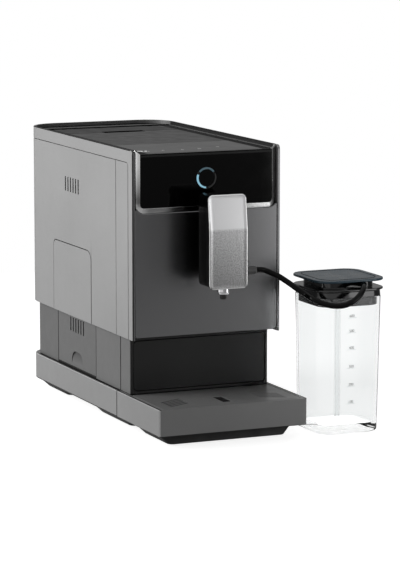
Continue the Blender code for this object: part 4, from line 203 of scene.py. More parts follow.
class Nodes:
    """Short calls that add and join the nodes of one tree."""

    def __init__(self, tree):
        self.tree = tree

    def new(self, kind, **settings):
        node = self.tree.nodes.new(kind)
        for key, value in settings.items():
            setattr(node, key, value)
        return node

    def join(self, start, end):
        self.tree.links.new(start, end)
        return self

    def feed(self, socket, value):
        """Puts a number into a socket, or joins another socket to it."""
        if isinstance(value, (int, float)):
            socket.default_value = value
        else:
            self.join(value, socket)

    def math(self, operation, first, second=None, clamp=False):
        node = self.new("ShaderNodeMath", operation=operation, use_clamp=clamp)
        self.feed(node.inputs[0], first)
        if second is not None:
            self.feed(node.inputs[1], second)
        return node.outputs[0]

    def remap(self, value, from_low, from_high, to_low, to_high, **settings):
        node = self.new("ShaderNodeMapRange", clamp=True, **settings)
        self.join(value, node.inputs["Value"])
        levels = (from_low, from_high, to_low, to_high)
        for key, level in zip(("From Min", "From Max", "To Min", "To Max"), levels):
            node.inputs[key].default_value = level
        return node.outputs["Result"]

    def rays(self):
        """1 for what is seen straight or through glass, and 1 for what is seen in a reflection."""
        path = self.new("ShaderNodeLightPath").outputs
        return self.math("MAXIMUM", path["Is Camera Ray"], path["Is Transmission Ray"]), path["Is Glossy Ray"]


class Look(Nodes):
    """A node material that is built up step by step around one Principled shader."""

    def __init__(self, name, colour, roughness, metallic=0.0, **sockets):
        self.material = bpy.data.materials.new(name)
        self.material.use_nodes = True
        super().__init__(self.material.node_tree)
        self.shader = self.tree.nodes["Principled BSDF"]
        self.shader.inputs["Base Color"].default_value = colour
        self.shader.inputs["Roughness"].default_value = roughness
        self.shader.inputs["Metallic"].default_value = metallic
        for key, value in sockets.items():
            self.shader.inputs[key.replace("_", " ")].default_value = value
        self.place = self.new("ShaderNodeTexCoord").outputs["Object"]
        self.parts = None

    def noise(self, scale, detail=2.0, stretch=(1, 1, 1), offset=(0, 0, 0)):
        mapping = self.new("ShaderNodeMapping")
        mapping.inputs["Scale"].default_value = stretch
        mapping.inputs["Location"].default_value = offset
        self.join(self.place, mapping.inputs["Vector"])
        node = self.new("ShaderNodeTexNoise")
        node.inputs["Scale"].default_value = scale
        node.inputs["Detail"].default_value = detail
        self.join(mapping.outputs["Vector"], node.inputs["Vector"])
        return node.outputs["Fac"]

    def axis(self, letter):
        """The place along X, Y or Z in the row frame, in metres."""
        if self.parts is None:
            self.parts = self.new("ShaderNodeSeparateXYZ")
            self.join(self.place, self.parts.inputs[0])
        return self.parts.outputs[letter]

    def over(self, letter, level, blur=0.0001, size=False):
        """1 beyond the level along the axis, 0 before it; size takes the distance from the middle."""
        value = self.axis(letter)
        if size:
            value = self.math("ABSOLUTE", value)
        return self.remap(value, level - blur, level + blur, 0.0, 1.0)

    def under(self, letter, level, blur=0.0001, size=False):
        return self.math("SUBTRACT", 1.0, self.over(letter, level, blur, size))

    def between(self, letter, low, high, blur=0.0001):
        return self.both(self.over(letter, low, blur), self.under(letter, high, blur))

    def outer(self, half, blur=0.0001):
        """1 further from the middle than the half width, at both sides."""
        return self.over("X", half, blur, True)

    def inner(self, half, blur=0.0001):
        return self.under("X", half, blur, True)

    def both(self, *masks):
        found = masks[0]
        for mask in masks[1:]:
            found = self.math("MULTIPLY", found, mask)
        return found

    def either(self, *masks):
        found = masks[0]
        for mask in masks[1:]:
            found = self.math("MAXIMUM", found, mask)
        return found

    def blend(self, key, factor, value, mode="MIX"):
        """Mixes a colour or number into one of the shader's inputs."""
        socket = self.shader.inputs[key]
        colour = socket.type == "RGBA"
        node = self.new("ShaderNodeMix", data_type="RGBA" if colour else "FLOAT")
        if colour:
            node.blend_type = mode
        first, second, result = (6, 7, 2) if colour else (2, 3, 0)
        if socket.is_linked:
            self.join(socket.links[0].from_socket, node.inputs[first])
        elif colour:
            node.inputs[first].default_value = list(socket.default_value)
        else:
            node.inputs[first].default_value = socket.default_value
        if isinstance(value, (list, tuple, int, float)):
            node.inputs[second].default_value = value
        else:
            self.join(value, node.inputs[second])
        self.feed(node.inputs[0], factor)
        self.join(node.outputs[result], socket)
        return self

    def tint(self, mask, colour):
        return self.blend("Base Color", mask, colour)

    def repaint(self, mask, colour, roughness=None, metallic=None, specular=None):
        """Another finish where the mask is 1."""
        self.tint(mask, colour)
        finish = (("Roughness", roughness), ("Metallic", metallic), ("Specular IOR Level", specular))
        for key, value in finish:
            if value is not None:
                self.blend(key, mask, value)
        return self

    def cloud(self, scale, amount):
        """Slow change of tone, lighter and darker by the given share."""
        level = self.remap(self.noise(scale, 3.0), 0.35, 0.65, 1 - amount, 1 + amount)
        shade = self.new("ShaderNodeCombineColor")
        for socket in shade.inputs:
            self.join(level, socket)
        return self.blend("Base Color", 1.0, shade.outputs[0], "MULTIPLY")

    def uneven(self, scale, spread, stretch=(1, 1, 1)):
        """Roughness that changes by the given spread."""
        field = self.noise(scale, 4.0, stretch, offset=(3.1, 1.7, 0.4))
        socket = self.shader.inputs["Roughness"]
        before = socket.links[0].from_socket if socket.is_linked else socket.default_value
        change = self.remap(field, 0.3, 0.7, -spread, spread)
        return self.join(self.math("ADD", change, before, clamp=True), socket)

    def grain(self, scale, depth, strength=0.6, stretch=(1, 1, 1)):
        bump = self.new("ShaderNodeBump")
        bump.inputs["Strength"].default_value = strength
        bump.inputs["Distance"].default_value = depth
        self.join(self.noise(scale, 2.0, stretch), bump.inputs["Height"])
        return self.raised(bump)

    def raised(self, bump):
        """Puts a bump on top of those that the shader has."""
        socket = self.shader.inputs["Normal"]
        if socket.is_linked:
            self.join(socket.links[0].from_socket, bump.inputs["Normal"])
        return self.join(bump.outputs["Normal"], socket)

    def glow(self, colour, strength):
        """Lets the surface give off light, by a number or by another socket."""
        self.shader.inputs["Emission Color"].default_value = colour
        self.feed(self.shader.inputs["Emission Strength"], strength)
        return self

    def wear_and_edge_highlight(self, gain=0.35, radius=0.0006):
        """Rubbed edges and painted edge highlights: lighter where the surface turns within the radius."""
        bevel = self.new("ShaderNodeBevel", samples=4)
        bevel.inputs["Radius"].default_value = radius
        geometry = self.new("ShaderNodeNewGeometry")
        dot = self.new("ShaderNodeVectorMath", operation="DOT_PRODUCT")
        self.join(bevel.outputs["Normal"], dot.inputs[0])
        self.join(geometry.outputs["Normal"], dot.inputs[1])
        edge = self.remap(dot.outputs["Value"], 0.97, 0.75, 0.0, 1.0)
        patchy = self.math("MULTIPLY", edge, self.remap(self.noise(90, 3.0), 0.35, 0.65, 0.5, 1.0))
        return self.blend("Base Color", patchy, [1 + gain] * 3 + [1.0], "MULTIPLY")

    def dust(self, amount=0.25):
        """A trace of dust on what faces up."""
        geometry = self.new("ShaderNodeNewGeometry")
        parts = self.new("ShaderNodeSeparateXYZ")
        self.join(geometry.outputs["Normal"], parts.inputs[0])
        up = self.remap(parts.outputs["Z"], 0.6, 1.0, 0.0, amount)
        spread = self.remap(self.noise(60, 5.0), 0.45, 0.75, 0.0, 1.0)
        return self.blend("Roughness", self.math("MULTIPLY", up, spread), 0.6)

    def seam(self, level, half=0.0008, share=1.0, colour=None, left_only=False):
        """Painted shadow: darkens a thin upright strip along a seam at a place along the depth."""
        strip = self.between("Y", level - half, level + half, 0.0003)
        if left_only:
            strip = self.both(strip, self.under("X", 0.0))
        if share != 1.0:
            strip = self.math("MULTIPLY", strip, share)
        return self.tint(strip, colour or SEAM_SHADE)

    def painted(self, edge=0.35, radius=0.0006):
        return self.cloud(9, 0.03).uneven(55, 0.05).grain(2600, 0.00002, 0.35).wear_and_edge_highlight(edge, radius)

    def satin(self):
        return self.cloud(6, 0.02).uneven(7, 0.015).grain(3000, 0.00001, 0.25).wear_and_edge_highlight(0.35)

    def moulded(self, grain=1500, depth=0.00004, strength=0.45):
        return self.cloud(14, 0.08).uneven(70, 0.06).grain(grain, depth, strength).wear_and_edge_highlight(0.6, 0.0005)

    def bare(self, grain=900, depth=0.00002, stretch=(1, 1, 1)):
        return self.cloud(25, 0.05).uneven(120, 0.06, stretch).grain(grain, depth, 0.35, stretch)


SHELL = tone(163)
# Painted light towards the front of the walls and painted shade towards their foot.
SHELL_PAINTED_SHADE = tone(150)
SHELL_PAINTED_LIGHT = tone(170)
LOWER = tone(108)
DOOR_LOW = tone(99)
SKIRT = tone(143)
SATIN = tone(110, 110, 111)
BLACK = tone(10)
DECK = tone(41, 42, 43)
BORDER_SHADE = tone(29)
# Colours of the painted shadow in seams and grooves.
SEAM_SHADE = tone(84)
GROOVE = tone(26)
SKIRT_GROOVE = tone(40)
# Inside these half widths the walls are painted dark, as painted shade inside the housing, up to where the
# rear corners begin.
WALL_INNER = 0.0893
LOWER_INNER = 0.0837
REAR_BEND = 0.3150
# Seams in the sides, from the front.
LEG_SEAM = 0.0136
STRIP_SEAM = 0.0493
TRAY_SEAM = 0.0494
LOWER_FRONT = 0.0508
SKIRT_SEAM = 0.0511
SHELL_SEAM = 0.1268
DOOR_GAP = 0.1278
DOOR_REAR = 0.2506
# The painted shade of the dark border at both sides of the top starts at this distance from the middle.
BORDER = 0.0700


def matt(name, colour, roughness=0.5, metallic=0.0, specular=0.5):
    return Look(name, colour, roughness, metallic, Specular_IOR_Level=specular)


def shade_wall(look):
    """Painted light and shade: the paint is a little lighter towards the front and darker towards the bottom.
    """
    look.tint(look.remap(look.axis("Y"), 0.02, 0.16, 1.0, 0.0), SHELL_PAINTED_LIGHT)
    look.tint(look.remap(look.axis("Z"), 0.105, 0.260, 0.8, 0.0), SHELL_PAINTED_SHADE)
    return look


def shell_look():
    """Painted outside, with painted shade inside and painted shadow along the seams, so that slots and seams
    read as gaps.
    """
    look = shade_wall(matt("shell_grey", SHELL, 0.42, specular=0.4))
    # Painted shadow along the seams.
    look.seam(LEG_SEAM, 0.0006, 0.6)
    look.seam(STRIP_SEAM, share=look.remap(look.axis("Z"), 0.14, 0.28, 0.35, 0.9))
    look.seam(SHELL_SEAM, share=look.remap(look.axis("Z"), 0.18, 0.21, 0.9, 0.0), left_only=True)
    # Painted shade inside.
    look.repaint(look.both(look.inner(WALL_INNER), look.under("Y", REAR_BEND)), BLACK)
    return look.painted()


GRATE_FACE = 0.0440


def grate_look():
    """Grey steel, with painted shade inside its slots and underneath."""
    look = matt("grate_steel", tone(126), 0.36, 0.15, 0.4)
    # Painted shade inside the slots and underneath.
    return look.repaint(look.under("Z", GRATE_FACE), tone(20)).painted()


# Where the trim's painted reflections part: inside its legs, above its lower band and at its left corner.
TRIM_SIDE = 0.0770
TRIM_BAND_TOP = 0.2590
TRIM_HIGHLIGHT_X = -0.0745
TRIM_HIGHLIGHT_Z = 0.2600


def trim_look():
    """Bright metal with painted reflections: painted shade low on the left leg, lightest high on it and
    towards the right of the lower band, with a painted highlight at its left corner.
    """
    look = matt("trim_metal", tone(132), 0.2, 1.0)
    left = look.under("X", -TRIM_SIDE, 0.0010)
    rise = look.remap(look.axis("Z"), 0.268, 0.304, 0.0, 1.0)
    # Painted shade low on the left leg and painted highlight high on it.
    look.tint(left, tone(112))
    look.tint(look.both(left, rise), tone(244))
    # Painted reflection along the lower band, lighter towards the right.
    along = look.remap(look.axis("X"), -0.02, 0.06, 0.0, 1.0)
    low = look.both(look.under("Z", TRIM_BAND_TOP, 0.0005), look.under("X", TRIM_SIDE, 0.0010))
    look.tint(low, tone(152))
    look.tint(look.both(low, along), tone(215))
    # Painted highlight at the band's left corner.
    corner = look.both(look.under("X", TRIM_HIGHLIGHT_X, 0.0045), look.under("Z", TRIM_HIGHLIGHT_Z, 0.0035))
    look.tint(look.math("MULTIPLY", corner, 0.9), tone(216))
    return look.bare(1600, 0.000003)


def ring_look(name, level, glow=None):
    look = Look(name, tone(level), 0.3).cloud(300, 0.05).grain(1500, 0.00001, 0.2)
    return look.glow(tone(*glow), 1.0) if glow else look


PLATE_BEND = 0.2370
PLATE_HALF = 0.0230
PLATE_TOP = 0.2755
PLATE_LOW = 0.1710
PLATE_RIM = 0.0013


def plate_look():
    """Blasted metal: plain above the bend, speckled below it with painted shade darkening towards its foot,
    and a polished rim.
    """
    look = Look("plate_metal", tone(206, 206, 207), 0.36, 1.0)
    below = look.under("Z", PLATE_BEND, 0.0015)
    speckle = look.remap(look.noise(800, 1.0), 0.37, 0.63, 0.0, 1.0)
    # Painted shade: darker towards the foot of the plate.
    painted_shade_fall = look.remap(look.axis("Z"), PLATE_LOW, PLATE_BEND, 0.85, 0.05)
    look.tint(look.both(below, painted_shade_fall), tone(132))
    strength = look.remap(look.axis("Z"), PLATE_LOW, PLATE_BEND, 0.66, 0.52)
    look.tint(look.both(below, speckle, strength), tone(106))
    rim = look.either(
        look.outer(PLATE_HALF - PLATE_RIM, 0.0002),
        look.over("Z", PLATE_TOP - PLATE_RIM, 0.0002),
        look.under("Z", PLATE_LOW + PLATE_RIM, 0.0002),
    )
    look.repaint(rim, tone(222), 0.2).uneven(200, 0.04)
    bump = look.new("ShaderNodeBump")
    bump.inputs["Distance"].default_value = 0.00005
    look.join(look.remap(below, 0.0, 1.0, 0.06, 0.6), bump.inputs["Strength"])
    look.join(speckle, bump.inputs["Height"])
    return look.raised(bump)


def board_look():
    """Green circuit board with fine tracks and dark parts."""
    board = Look("board_green", tone(22, 84, 50), 0.35)
    lines = board.new("ShaderNodeTexBrick")
    lines.inputs["Scale"].default_value = 160
    lines.inputs["Mortar Size"].default_value = 0.03
    board.join(board.place, lines.inputs["Vector"])
    board.tint(lines.outputs["Fac"], tone(150, 128, 60))
    board.tint(board.remap(board.noise(300, 1.0), 0.62, 0.66, 0.0, 0.8), tone(32, 32, 34))
    return board.grain(400, 0.0001, 0.4)


def clear_look(name, colour, ior):
    look = Look(name, colour, 0.03, Transmission_Weight=1.0, IOR=ior)
    return look.uneven(40, 0.02).grain(60, 0.00003, 0.08)


def slot_looks():
    """One look for each of the record's slots."""
    slate = matt("lid_slate", tone(48, 72, 86), 0.28, specular=0.4)
    gloss = matt("gloss_black", tone(6), 0.12, specular=0.16)
    rubbery = matt("hose_black", tone(4), 0.10, specular=0.10)
    return {
        "shell_grey": shell_look(),
        "lower_grey": matt("lower_grey", LOWER, 0.45, 0.0, 0.35).painted(),
        "cover_satin": matt("cover_satin", SATIN, 0.25, 1.0).satin(),
        "black": matt("black", tone(17), 0.5, 0.0, 0.35).moulded(1300),
        "inner_black": matt("inner_black", tone(34, 34, 35), 0.6, 0.0, 0.4).moulded(1100),
        "deck_grey": matt("deck_grey", DECK, 0.42, 0.0, 0.4).moulded(1900, 0.00002, 0.35).dust(0.3),
        "trim_metal": trim_look(),
        "nozzle_chrome": matt("nozzle_chrome", tone(222, 222, 224), 0.08, 1.0).bare(900, 0.000003),
        "grate_steel": grate_look(),
        "burr_steel": matt("burr_steel", tone(165, 165, 168), 0.28, 1.0).bare(1200, 0.00001, (1, 1, 12)),
        "heater_metal": matt("heater_metal", tone(182, 182, 184), 0.42, 1.0).bare(500, 0.00008),
        "rubber": matt("rubber", tone(26, 26, 27), 0.8, 0.0, 0.3).moulded(900, 0.00006, 0.7),
        "pump_black": matt("pump_black", tone(40, 40, 43), 0.5).moulded(800),
        "orange": matt("orange", tone(196, 98, 38), 0.42).moulded(1000, 0.00002, 0.4),
        "lid_slate": slate.moulded(2200, 0.00001, 0.3).dust(0.3),
        "float_red": matt("float_red", tone(14), 0.2, 0.0, 0.4).moulded(900, 0.00002),
        "gloss_black": gloss.cloud(20, 0.15).uneven(45, 0.03).grain(700, 0.000003, 0.2).dust(0.20),
        "board_green": board_look(),
        "tank_clear": clear_look("tank_clear", tone(186, 205, 212), 1.3),
        "jug_clear": clear_look("jug_clear", tone(246, 247, 247), 1.13),
        "hose_black": rubbery.cloud(60, 0.2).uneven(90, 0.03).grain(700, 0.000006, 0.2),
        "light_blue": ring_look("ring_dark", 40),
        "plate_metal": plate_look(),
    }


# Looks for single CAD nodes whose faces don't all have the same finish.
LEG_DEPTH = 0.0125
LEG_FACE = 0.0008
LEG_EDGE = 0.0884
CROWN_LOW = 0.3212
CROWN_FRONT = 0.0060
REAR_WALL_HALF = 0.0868
REAR_WALL_LOW = 0.3175
REAR_WALL_FRONT = 0.3000
REAR_WALL_REAR = 0.3421


def top_frame_look():
    """Satin leg fronts, a dark crown and dark inner walls, with painted light on the right leg's inner wall
    and painted shadow on the left leg's front edge.
    """
    look = shade_wall(matt("top_band", SHELL, 0.42, specular=0.4))
    # Dark inside: painted shade inside the shell, and the rim's dark liner.
    inside = look.both(look.inner(WALL_INNER), look.under("Y", REAR_BEND))
    look.repaint(inside, BLACK)
    # Painted light: the right leg's inner wall, out of reach of the light, is painted a light grey.
    painted_light_leg_wall = look.both(look.under("Y", LEG_DEPTH), look.over("X", 0.0))
    look.repaint(look.both(inside, painted_light_leg_wall), tone(178))
    face = look.under("Y", LEG_FACE)
    look.repaint(face, SATIN, 0.25, 1.0)
    # Painted shadow on the left leg's front edge.
    look.repaint(look.both(face, look.under("X", -LEG_EDGE)), tone(22), 0.4, 0.0)
    crown = look.both(look.over("Z", CROWN_LOW), look.over("Y", CROWN_FRONT))
    look.repaint(crown, tone(14), 0.40, 0.0, 0.10)
    rear_wall = look.both(
        look.inner(REAR_WALL_HALF),
        look.over("Z", REAR_WALL_LOW),
        look.between("Y", REAR_WALL_FRONT, REAR_WALL_REAR),
    )
    return look.repaint(rear_wall, tone(118), 0.35, 0.0, 0.4).satin()


DOOR_STEP = 0.1092
# The door's darker paint starts this far inside the lower walls' inner faces.
DOOR_PAINT_IN = 0.0030
SCOOP_INNER = 0.0815
SCOOP_OUTER = 0.0841
SCOOP_FRONT = 0.1700
SCOOP_REAR = 0.2060
SCOOP_LOW = 0.0520
SCOOP_SHADE_TOP = 0.0655
SCOOP_TOP = 0.0664


def door_look():
    """Shell paint above the step and darker paint below it, with painted shade inside, along its gap and in
    the finger scoop.
    """
    look = shade_wall(matt("door_grey", SHELL, 0.42, specular=0.4))
    # Painted shade on the inner face.
    look.repaint(look.inner(WALL_INNER), BLACK)
    low = look.both(look.under("Z", DOOR_STEP), look.outer(LOWER_INNER - DOOR_PAINT_IN, 0.0002))
    look.repaint(low, DOOR_LOW)
    # Painted shadow along the door's gap.
    look.seam(DOOR_GAP, 0.0006, 0.8)
    # Painted shade in the finger scoop, darkest towards its top.
    scoop = look.both(
        look.inner(SCOOP_OUTER),
        look.outer(SCOOP_INNER),
        look.under("Z", SCOOP_TOP),
        look.between("Y", SCOOP_FRONT, SCOOP_REAR),
        look.remap(look.axis("Z"), SCOOP_LOW, SCOOP_SHADE_TOP, 0.0, 0.85),
    )
    return look.tint(scoop, tone(44)).painted()


SILL_TOP = 0.0470
SILL_FRONT = 0.1266
SILL_REAR = 0.2505


def lower_look():
    """Painted shade towards the rear, in the sill under the door and inside, with painted shadow in the
    grooves beside the door and the tray.
    """
    look = matt("lower_side", LOWER, 0.45, specular=0.35)
    # Painted shade: darker towards the rear.
    look.tint(look.remap(look.axis("Y"), 0.12, 0.30, 0.0, 1.0), tone(96))
    # Painted shadow in the grooves.
    look.seam(DOOR_REAR, 0.0013, colour=GROOVE, left_only=True)
    look.seam(LOWER_FRONT, 0.0012, colour=GROOVE)
    # Painted shade in the sill under the door and inside.
    sill = look.both(look.under("Z", SILL_TOP), look.between("Y", SILL_FRONT, SILL_REAR))
    inside = look.both(look.inner(LOWER_INNER), look.under("Y", REAR_BEND))
    return look.repaint(look.either(sill, inside), BLACK).painted()


SKIRT_LEDGE = 0.0878
SKIRT_EDGE = 0.0892
SKIRT_EDGE_LOW = 0.0438
SKIRT_FOOT = 0.0157


def skirt_look():
    """Skirt paint with painted highlights on its upper edge and other edges, painted shadow in its seam, and
    dark on its ledge and under it.
    """
    look = matt("skirt_grey", SKIRT, 0.42, specular=0.4)
    ledge = look.both(look.inner(SKIRT_LEDGE, 0.0002), look.under("Y", REAR_BEND))
    # Painted highlight on the upper edge, and painted shadow in the seam.
    look.repaint(look.both(look.outer(SKIRT_EDGE), look.over("Z", SKIRT_EDGE_LOW)), tone(170))
    look.seam(SKIRT_SEAM, 0.0006, 0.8, SKIRT_GROOVE)
    # A strong edge gain paints highlights on all the edges.
    return look.repaint(look.either(ledge, look.under("Z", SKIRT_FOOT)), BLACK).painted(1.2, 0.0009)


TRAY_FACE = 0.0443
TRAY_LINE_LOW = 0.0440
TRAY_LINE_INNER = 0.0872
TRAY_LINE_OUTER = 0.0889
TRAY_EDGE = 0.0890
TRAY_CORNER = 0.0884
TRAY_FRONT = -0.0748
TRAY_FOOT = 0.0152


def tray_look():
    """Skirt paint with painted shade on its top, and painted highlights on its edges beside a dark line."""
    look = matt("tray_grey", SKIRT, 0.40, specular=0.4)
    # Painted shade on the top.
    look.repaint(look.over("Z", TRAY_FACE), tone(118), 0.36)
    line = look.both(look.outer(TRAY_LINE_INNER), look.inner(TRAY_LINE_OUTER), look.over("Z", TRAY_LINE_LOW))
    look.repaint(line, tone(8), 0.5, 0.0, 0.1)
    # Painted highlights on the upper edge and the front corner, and painted shadow in the seam.
    look.repaint(look.both(look.outer(TRAY_EDGE), look.over("Z", SKIRT_EDGE_LOW)), tone(172))
    look.repaint(look.both(look.outer(TRAY_CORNER), look.under("Y", TRAY_FRONT)), tone(226))
    look.seam(TRAY_SEAM, 0.0005, 0.8, SKIRT_GROOVE)
    # A strong edge gain paints highlights on all the edges.
    return look.repaint(look.under("Z", TRAY_FOOT), BLACK).painted(1.2, 0.0009)


DECK_SIDE = 0.0826
DECK_REAR = 0.3063
DECK_BAND_REAR = 0.3170
DECK_END = 0.3310
DECK_FACE = 0.3146


def deck_look():
    """Dark deck with light side ledges, two dark bands at the rear, and painted shade in its recesses."""
    look = matt("deck", DECK, 0.42, specular=0.4)
    look.repaint(look.outer(DECK_SIDE), tone(120), 0.30)
    rear = look.over("Y", DECK_REAR)
    look.repaint(rear, tone(48), 0.30)
    bands = look.either(look.both(rear, look.under("Y", DECK_BAND_REAR)), look.over("Y", DECK_END))
    look.repaint(bands, tone(3), 0.5, 0.0, 0.0)
    # Painted shade in the recesses below the deck's face.
    return look.repaint(look.under("Z", DECK_FACE), BLACK).moulded(1900, 0.00002, 0.35).dust(0.3)


LID_SIDE = 0.3172
LID_BELOW = 0.3150
FINGER_HALF = 0.0262
FINGER_FRONT = 0.2426
FINGER_REAR = 0.2570


def lid_look(name, colour, specular):
    """Dark lid with painted shade on its border, its sides and its finger slot."""
    look = matt(name, colour, 0.45, specular=specular)
    # Painted shade standing in for the shaded wall beside the lid.
    look.repaint(look.outer(BORDER, 0.0002), BORDER_SHADE, 0.6, 0.0, 0.03)
    # Painted shadow on the sides and in the finger slot, wider than the slot.
    finger = look.both(look.inner(FINGER_HALF), look.between("Y", FINGER_FRONT, FINGER_REAR))
    look.repaint(look.either(look.under("Z", LID_SIDE), finger), tone(2), 0.8, 0.0, 0.0)
    look.repaint(look.under("Z", LID_BELOW), tone(46), 0.5, 0.0, 0.3)
    return look.moulded(1900, 0.00002, 0.35).dust(0.3)


PANEL_FLAT_FRONT = 0.0020
PANEL_FLAT_REAR = 0.1008
BROW_REAR = 0.0015
BROW_LOW = 0.3142
BROW_TOP = 0.3164


def panel_look():
    """Gloss black front with a matt grey top that has painted shade at its borders, and a painted reflection
    just under its brow.
    """
    look = matt("panel_black", tone(7), 0.08, specular=0.14)
    flat = look.both(look.over("Y", PANEL_FLAT_FRONT, 0.0006), look.under("Y", PANEL_FLAT_REAR))
    look.repaint(flat, tone(84), 0.42, specular=0.3)
    # Painted shade at the top's borders.
    look.repaint(look.both(flat, look.outer(BORDER, 0.0002)), BORDER_SHADE, 0.6, 0.0, 0.03)
    # Painted reflection just under the brow.
    brow = look.both(look.under("Y", BROW_REAR, 0.0002), look.between("Z", BROW_LOW, BROW_TOP))
    look.repaint(brow, tone(40), 0.4)
    return look.cloud(20, 0.10).uneven(45, 0.03).grain(900, 0.000003, 0.25).dust(0.15)


BLOCK_FACE = 0.0222


def block_look():
    look = matt("drawer_grey", LOWER, 0.45, specular=0.35)
    return look.repaint(look.under("Y", BLOCK_FACE), tone(16)).painted()


def node_looks():
    """The looks that single CAD nodes have instead of their slot's."""
    drawer = matt("drawer_front", tone(29), 0.34, specular=0.3)
    shell = matt("spout_black", tone(2), 0.18, specular=0.09)
    lid_base = matt("lid_black", tone(8, 8, 10), 0.09, specular=0.7)
    return {
        "top_frame": top_frame_look(),
        "service_door": door_look(),
        "lower_housing": lower_look(),
        "base_skirt": skirt_look(),
        "tray_skirt": tray_look(),
        "top_deck": deck_look(),
        "bean_lid": lid_look("bean_lid", tone(38), 0.36),
        "tank_lid": lid_look("tank_lid", tone(33), 0.14),
        "control_panel": panel_look(),
        "drawer_panel": drawer.moulded(2000, 0.00001, 0.3),
        "drawer_block": block_look(),
        "spout_rear_shell": shell.cloud(20, 0.15).uneven(60, 0.04).grain(900, 0.00001, 0.2),
        "hose_collar": matt("collar_grey", tone(74), 0.35).moulded(1600, 0.00001),
        "jug_lid_base": lid_base.moulded(900, 0.00001, 0.15),
    }


LOOKS = slot_looks()
NODE_LOOKS = node_looks()


def dress(item, slot, look=None):
    """Gives a new piece its material: the look if one is given, or else the look of the record's slot."""
    material = (look or LOOKS[slot]).material
    item.data.materials.clear()
    item.data.materials.append(material)


# The hose takes the place of the CAD hose, where it stands.
dress(hose, "hose_black")
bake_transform(hose)
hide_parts("milk_hose")


# Shading of the kept CAD nodes.
def clean_group(angle):
    """Merges the doubled points, and keeps only the edges sharper than the angle sharp."""
    tree = bpy.data.node_groups.new(f"clean_{angle}", "GeometryNodeTree")
    for way in ("INPUT", "OUTPUT"):
        tree.interface.new_socket("Geometry", in_out=way, socket_type="NodeSocketGeometry")
    nodes = Nodes(tree)
    start = nodes.new("NodeGroupInput")
    end = nodes.new("NodeGroupOutput")
    drop = nodes.new("GeometryNodeRemoveAttribute")
    drop.inputs["Name"].default_value = "custom_normal"
    merge = nodes.new("GeometryNodeMergeByDistance")
    merge.inputs["Distance"].default_value = 0.00001
    faces = nodes.new("GeometryNodeSetShadeSmooth", domain="FACE")
    faces.inputs["Shade Smooth"].default_value = True
    edges = nodes.new("GeometryNodeSetShadeSmooth", domain="EDGE")
    edges.inputs["Shade Smooth"].default_value = False
    turn = nodes.new("GeometryNodeInputMeshEdgeAngle")
    compare = nodes.new("FunctionNodeCompare", data_type="FLOAT", operation="GREATER_THAN")
    compare.inputs[1].default_value = math.radians(angle)
    nodes.join(turn.outputs["Unsigned Angle"], compare.inputs[0])
    nodes.join(compare.outputs[0], edges.inputs["Selection"])
    for first, second in ((start, drop), (drop, merge), (merge, faces), (faces, edges), (edges, end)):
        nodes.join(first.outputs[0], second.inputs[0])
    return tree


CLEAN = clean_group(34)


def ease(item, width):
    """Rounds the piece's edges by a bevel modifier."""
    bevel = item.modifiers.new("edges", "BEVEL")
    bevel.width = width
    bevel.segments = 2
    bevel.limit_method = "ANGLE"
    bevel.angle_limit = math.radians(38)
    bevel.use_clamp_overlap = True
    bevel.harden_normals = True


def refine(item, width):
    """Eased edges and smooth arcs on a kept CAD node, by modifiers alone."""
    merge = item.modifiers.new("clean", "NODES")
    merge.node_group = CLEAN
    flat = item.modifiers.new("flat", "DECIMATE")
    flat.decimate_type = "DISSOLVE"
    flat.angle_limit = math.radians(0.3)
    if width > 0:
        ease(item, width)


# Pieces built here in place of CAD nodes, or on top of them.
def arc(centre, radius_x, radius_y, start=0, end=360, steps=16):
    """Points along an arc between two angles."""
    found = []
    for index in range(steps + 1):
        turn = math.radians(start + (end - start) * index / steps)
        found.append((centre[0] + radius_x * math.cos(turn), centre[1] + radius_y * math.sin(turn)))
    return found


def rounded(low_u, high_u, low_v, high_v, corner, steps=8):
    """Points round a rectangle with round corners."""
    found = []
    for u, v, start in (
        (high_u - corner, low_v + corner, 270),
        (high_u - corner, high_v - corner, 0),
        (low_u + corner, high_v - corner, 90),
        (low_u + corner, low_v + corner, 180),
    ):
        found += arc((u, v), corner, corner, start, start + 90, steps)
    return found


def around(centre, half_u, half_v, corner, steps=8):
    """Points of a rectangle with round corners round a centre."""
    u, v = centre
    return rounded(u - half_u, u + half_u, v - half_v, v + half_v, corner, steps)


def place(item, slot, body, *nodes, look=None):
    """Dresses a finished piece and lets it ride on a body, in place of the nodes."""
    dress(item, slot, look)
    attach(item, body)
    if nodes:
        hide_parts(*nodes)


TOP = 0.3219
BROW = 0.0050
TRIM_HALF = 0.0861
TRIM_LEG = 0.0061
TRIM_LOW = 0.2518
TRIM_BAND = 0.0054
TRIM_CORNER = 0.0100
TRIM_INNER_TOP = 0.3172
TRIM_LEG_END = 0.3000
TRIM_REAR = 0.0060
# Shares of the straight leg's height, from the top, at which its section is set.
LEG_SHARES = (0, 0.04, 0.09, 0.15, 0.22, 0.4, 0.7, 1)
# Share of the legs' slope that is left along the bottom.
TRIM_FLAT_SHARE = 0.15
# Share of the band's width from its outer edge, and the depth behind the front plane.
TRIM_PROFILE = (
    (0.00, TRIM_REAR),
    (0.00, 0.0036),
    (0.03, 0.0031),
    (0.10, 0.0026),
    (0.35, 0.0017),
    (0.60, 0.0009),
    (0.84, 0.0003),
    (0.90, 0.0001),
    (0.96, 0.0003),
    (1.00, 0.0009),
    (1.00, TRIM_REAR),
)


def brow_depth(height):
    """Depth of the rounded front top edge at a height."""
    rise = height - (TOP - BROW)
    if rise <= 0:
        return 0
    return BROW - math.sqrt(max(BROW * BROW - rise * rise, 0))


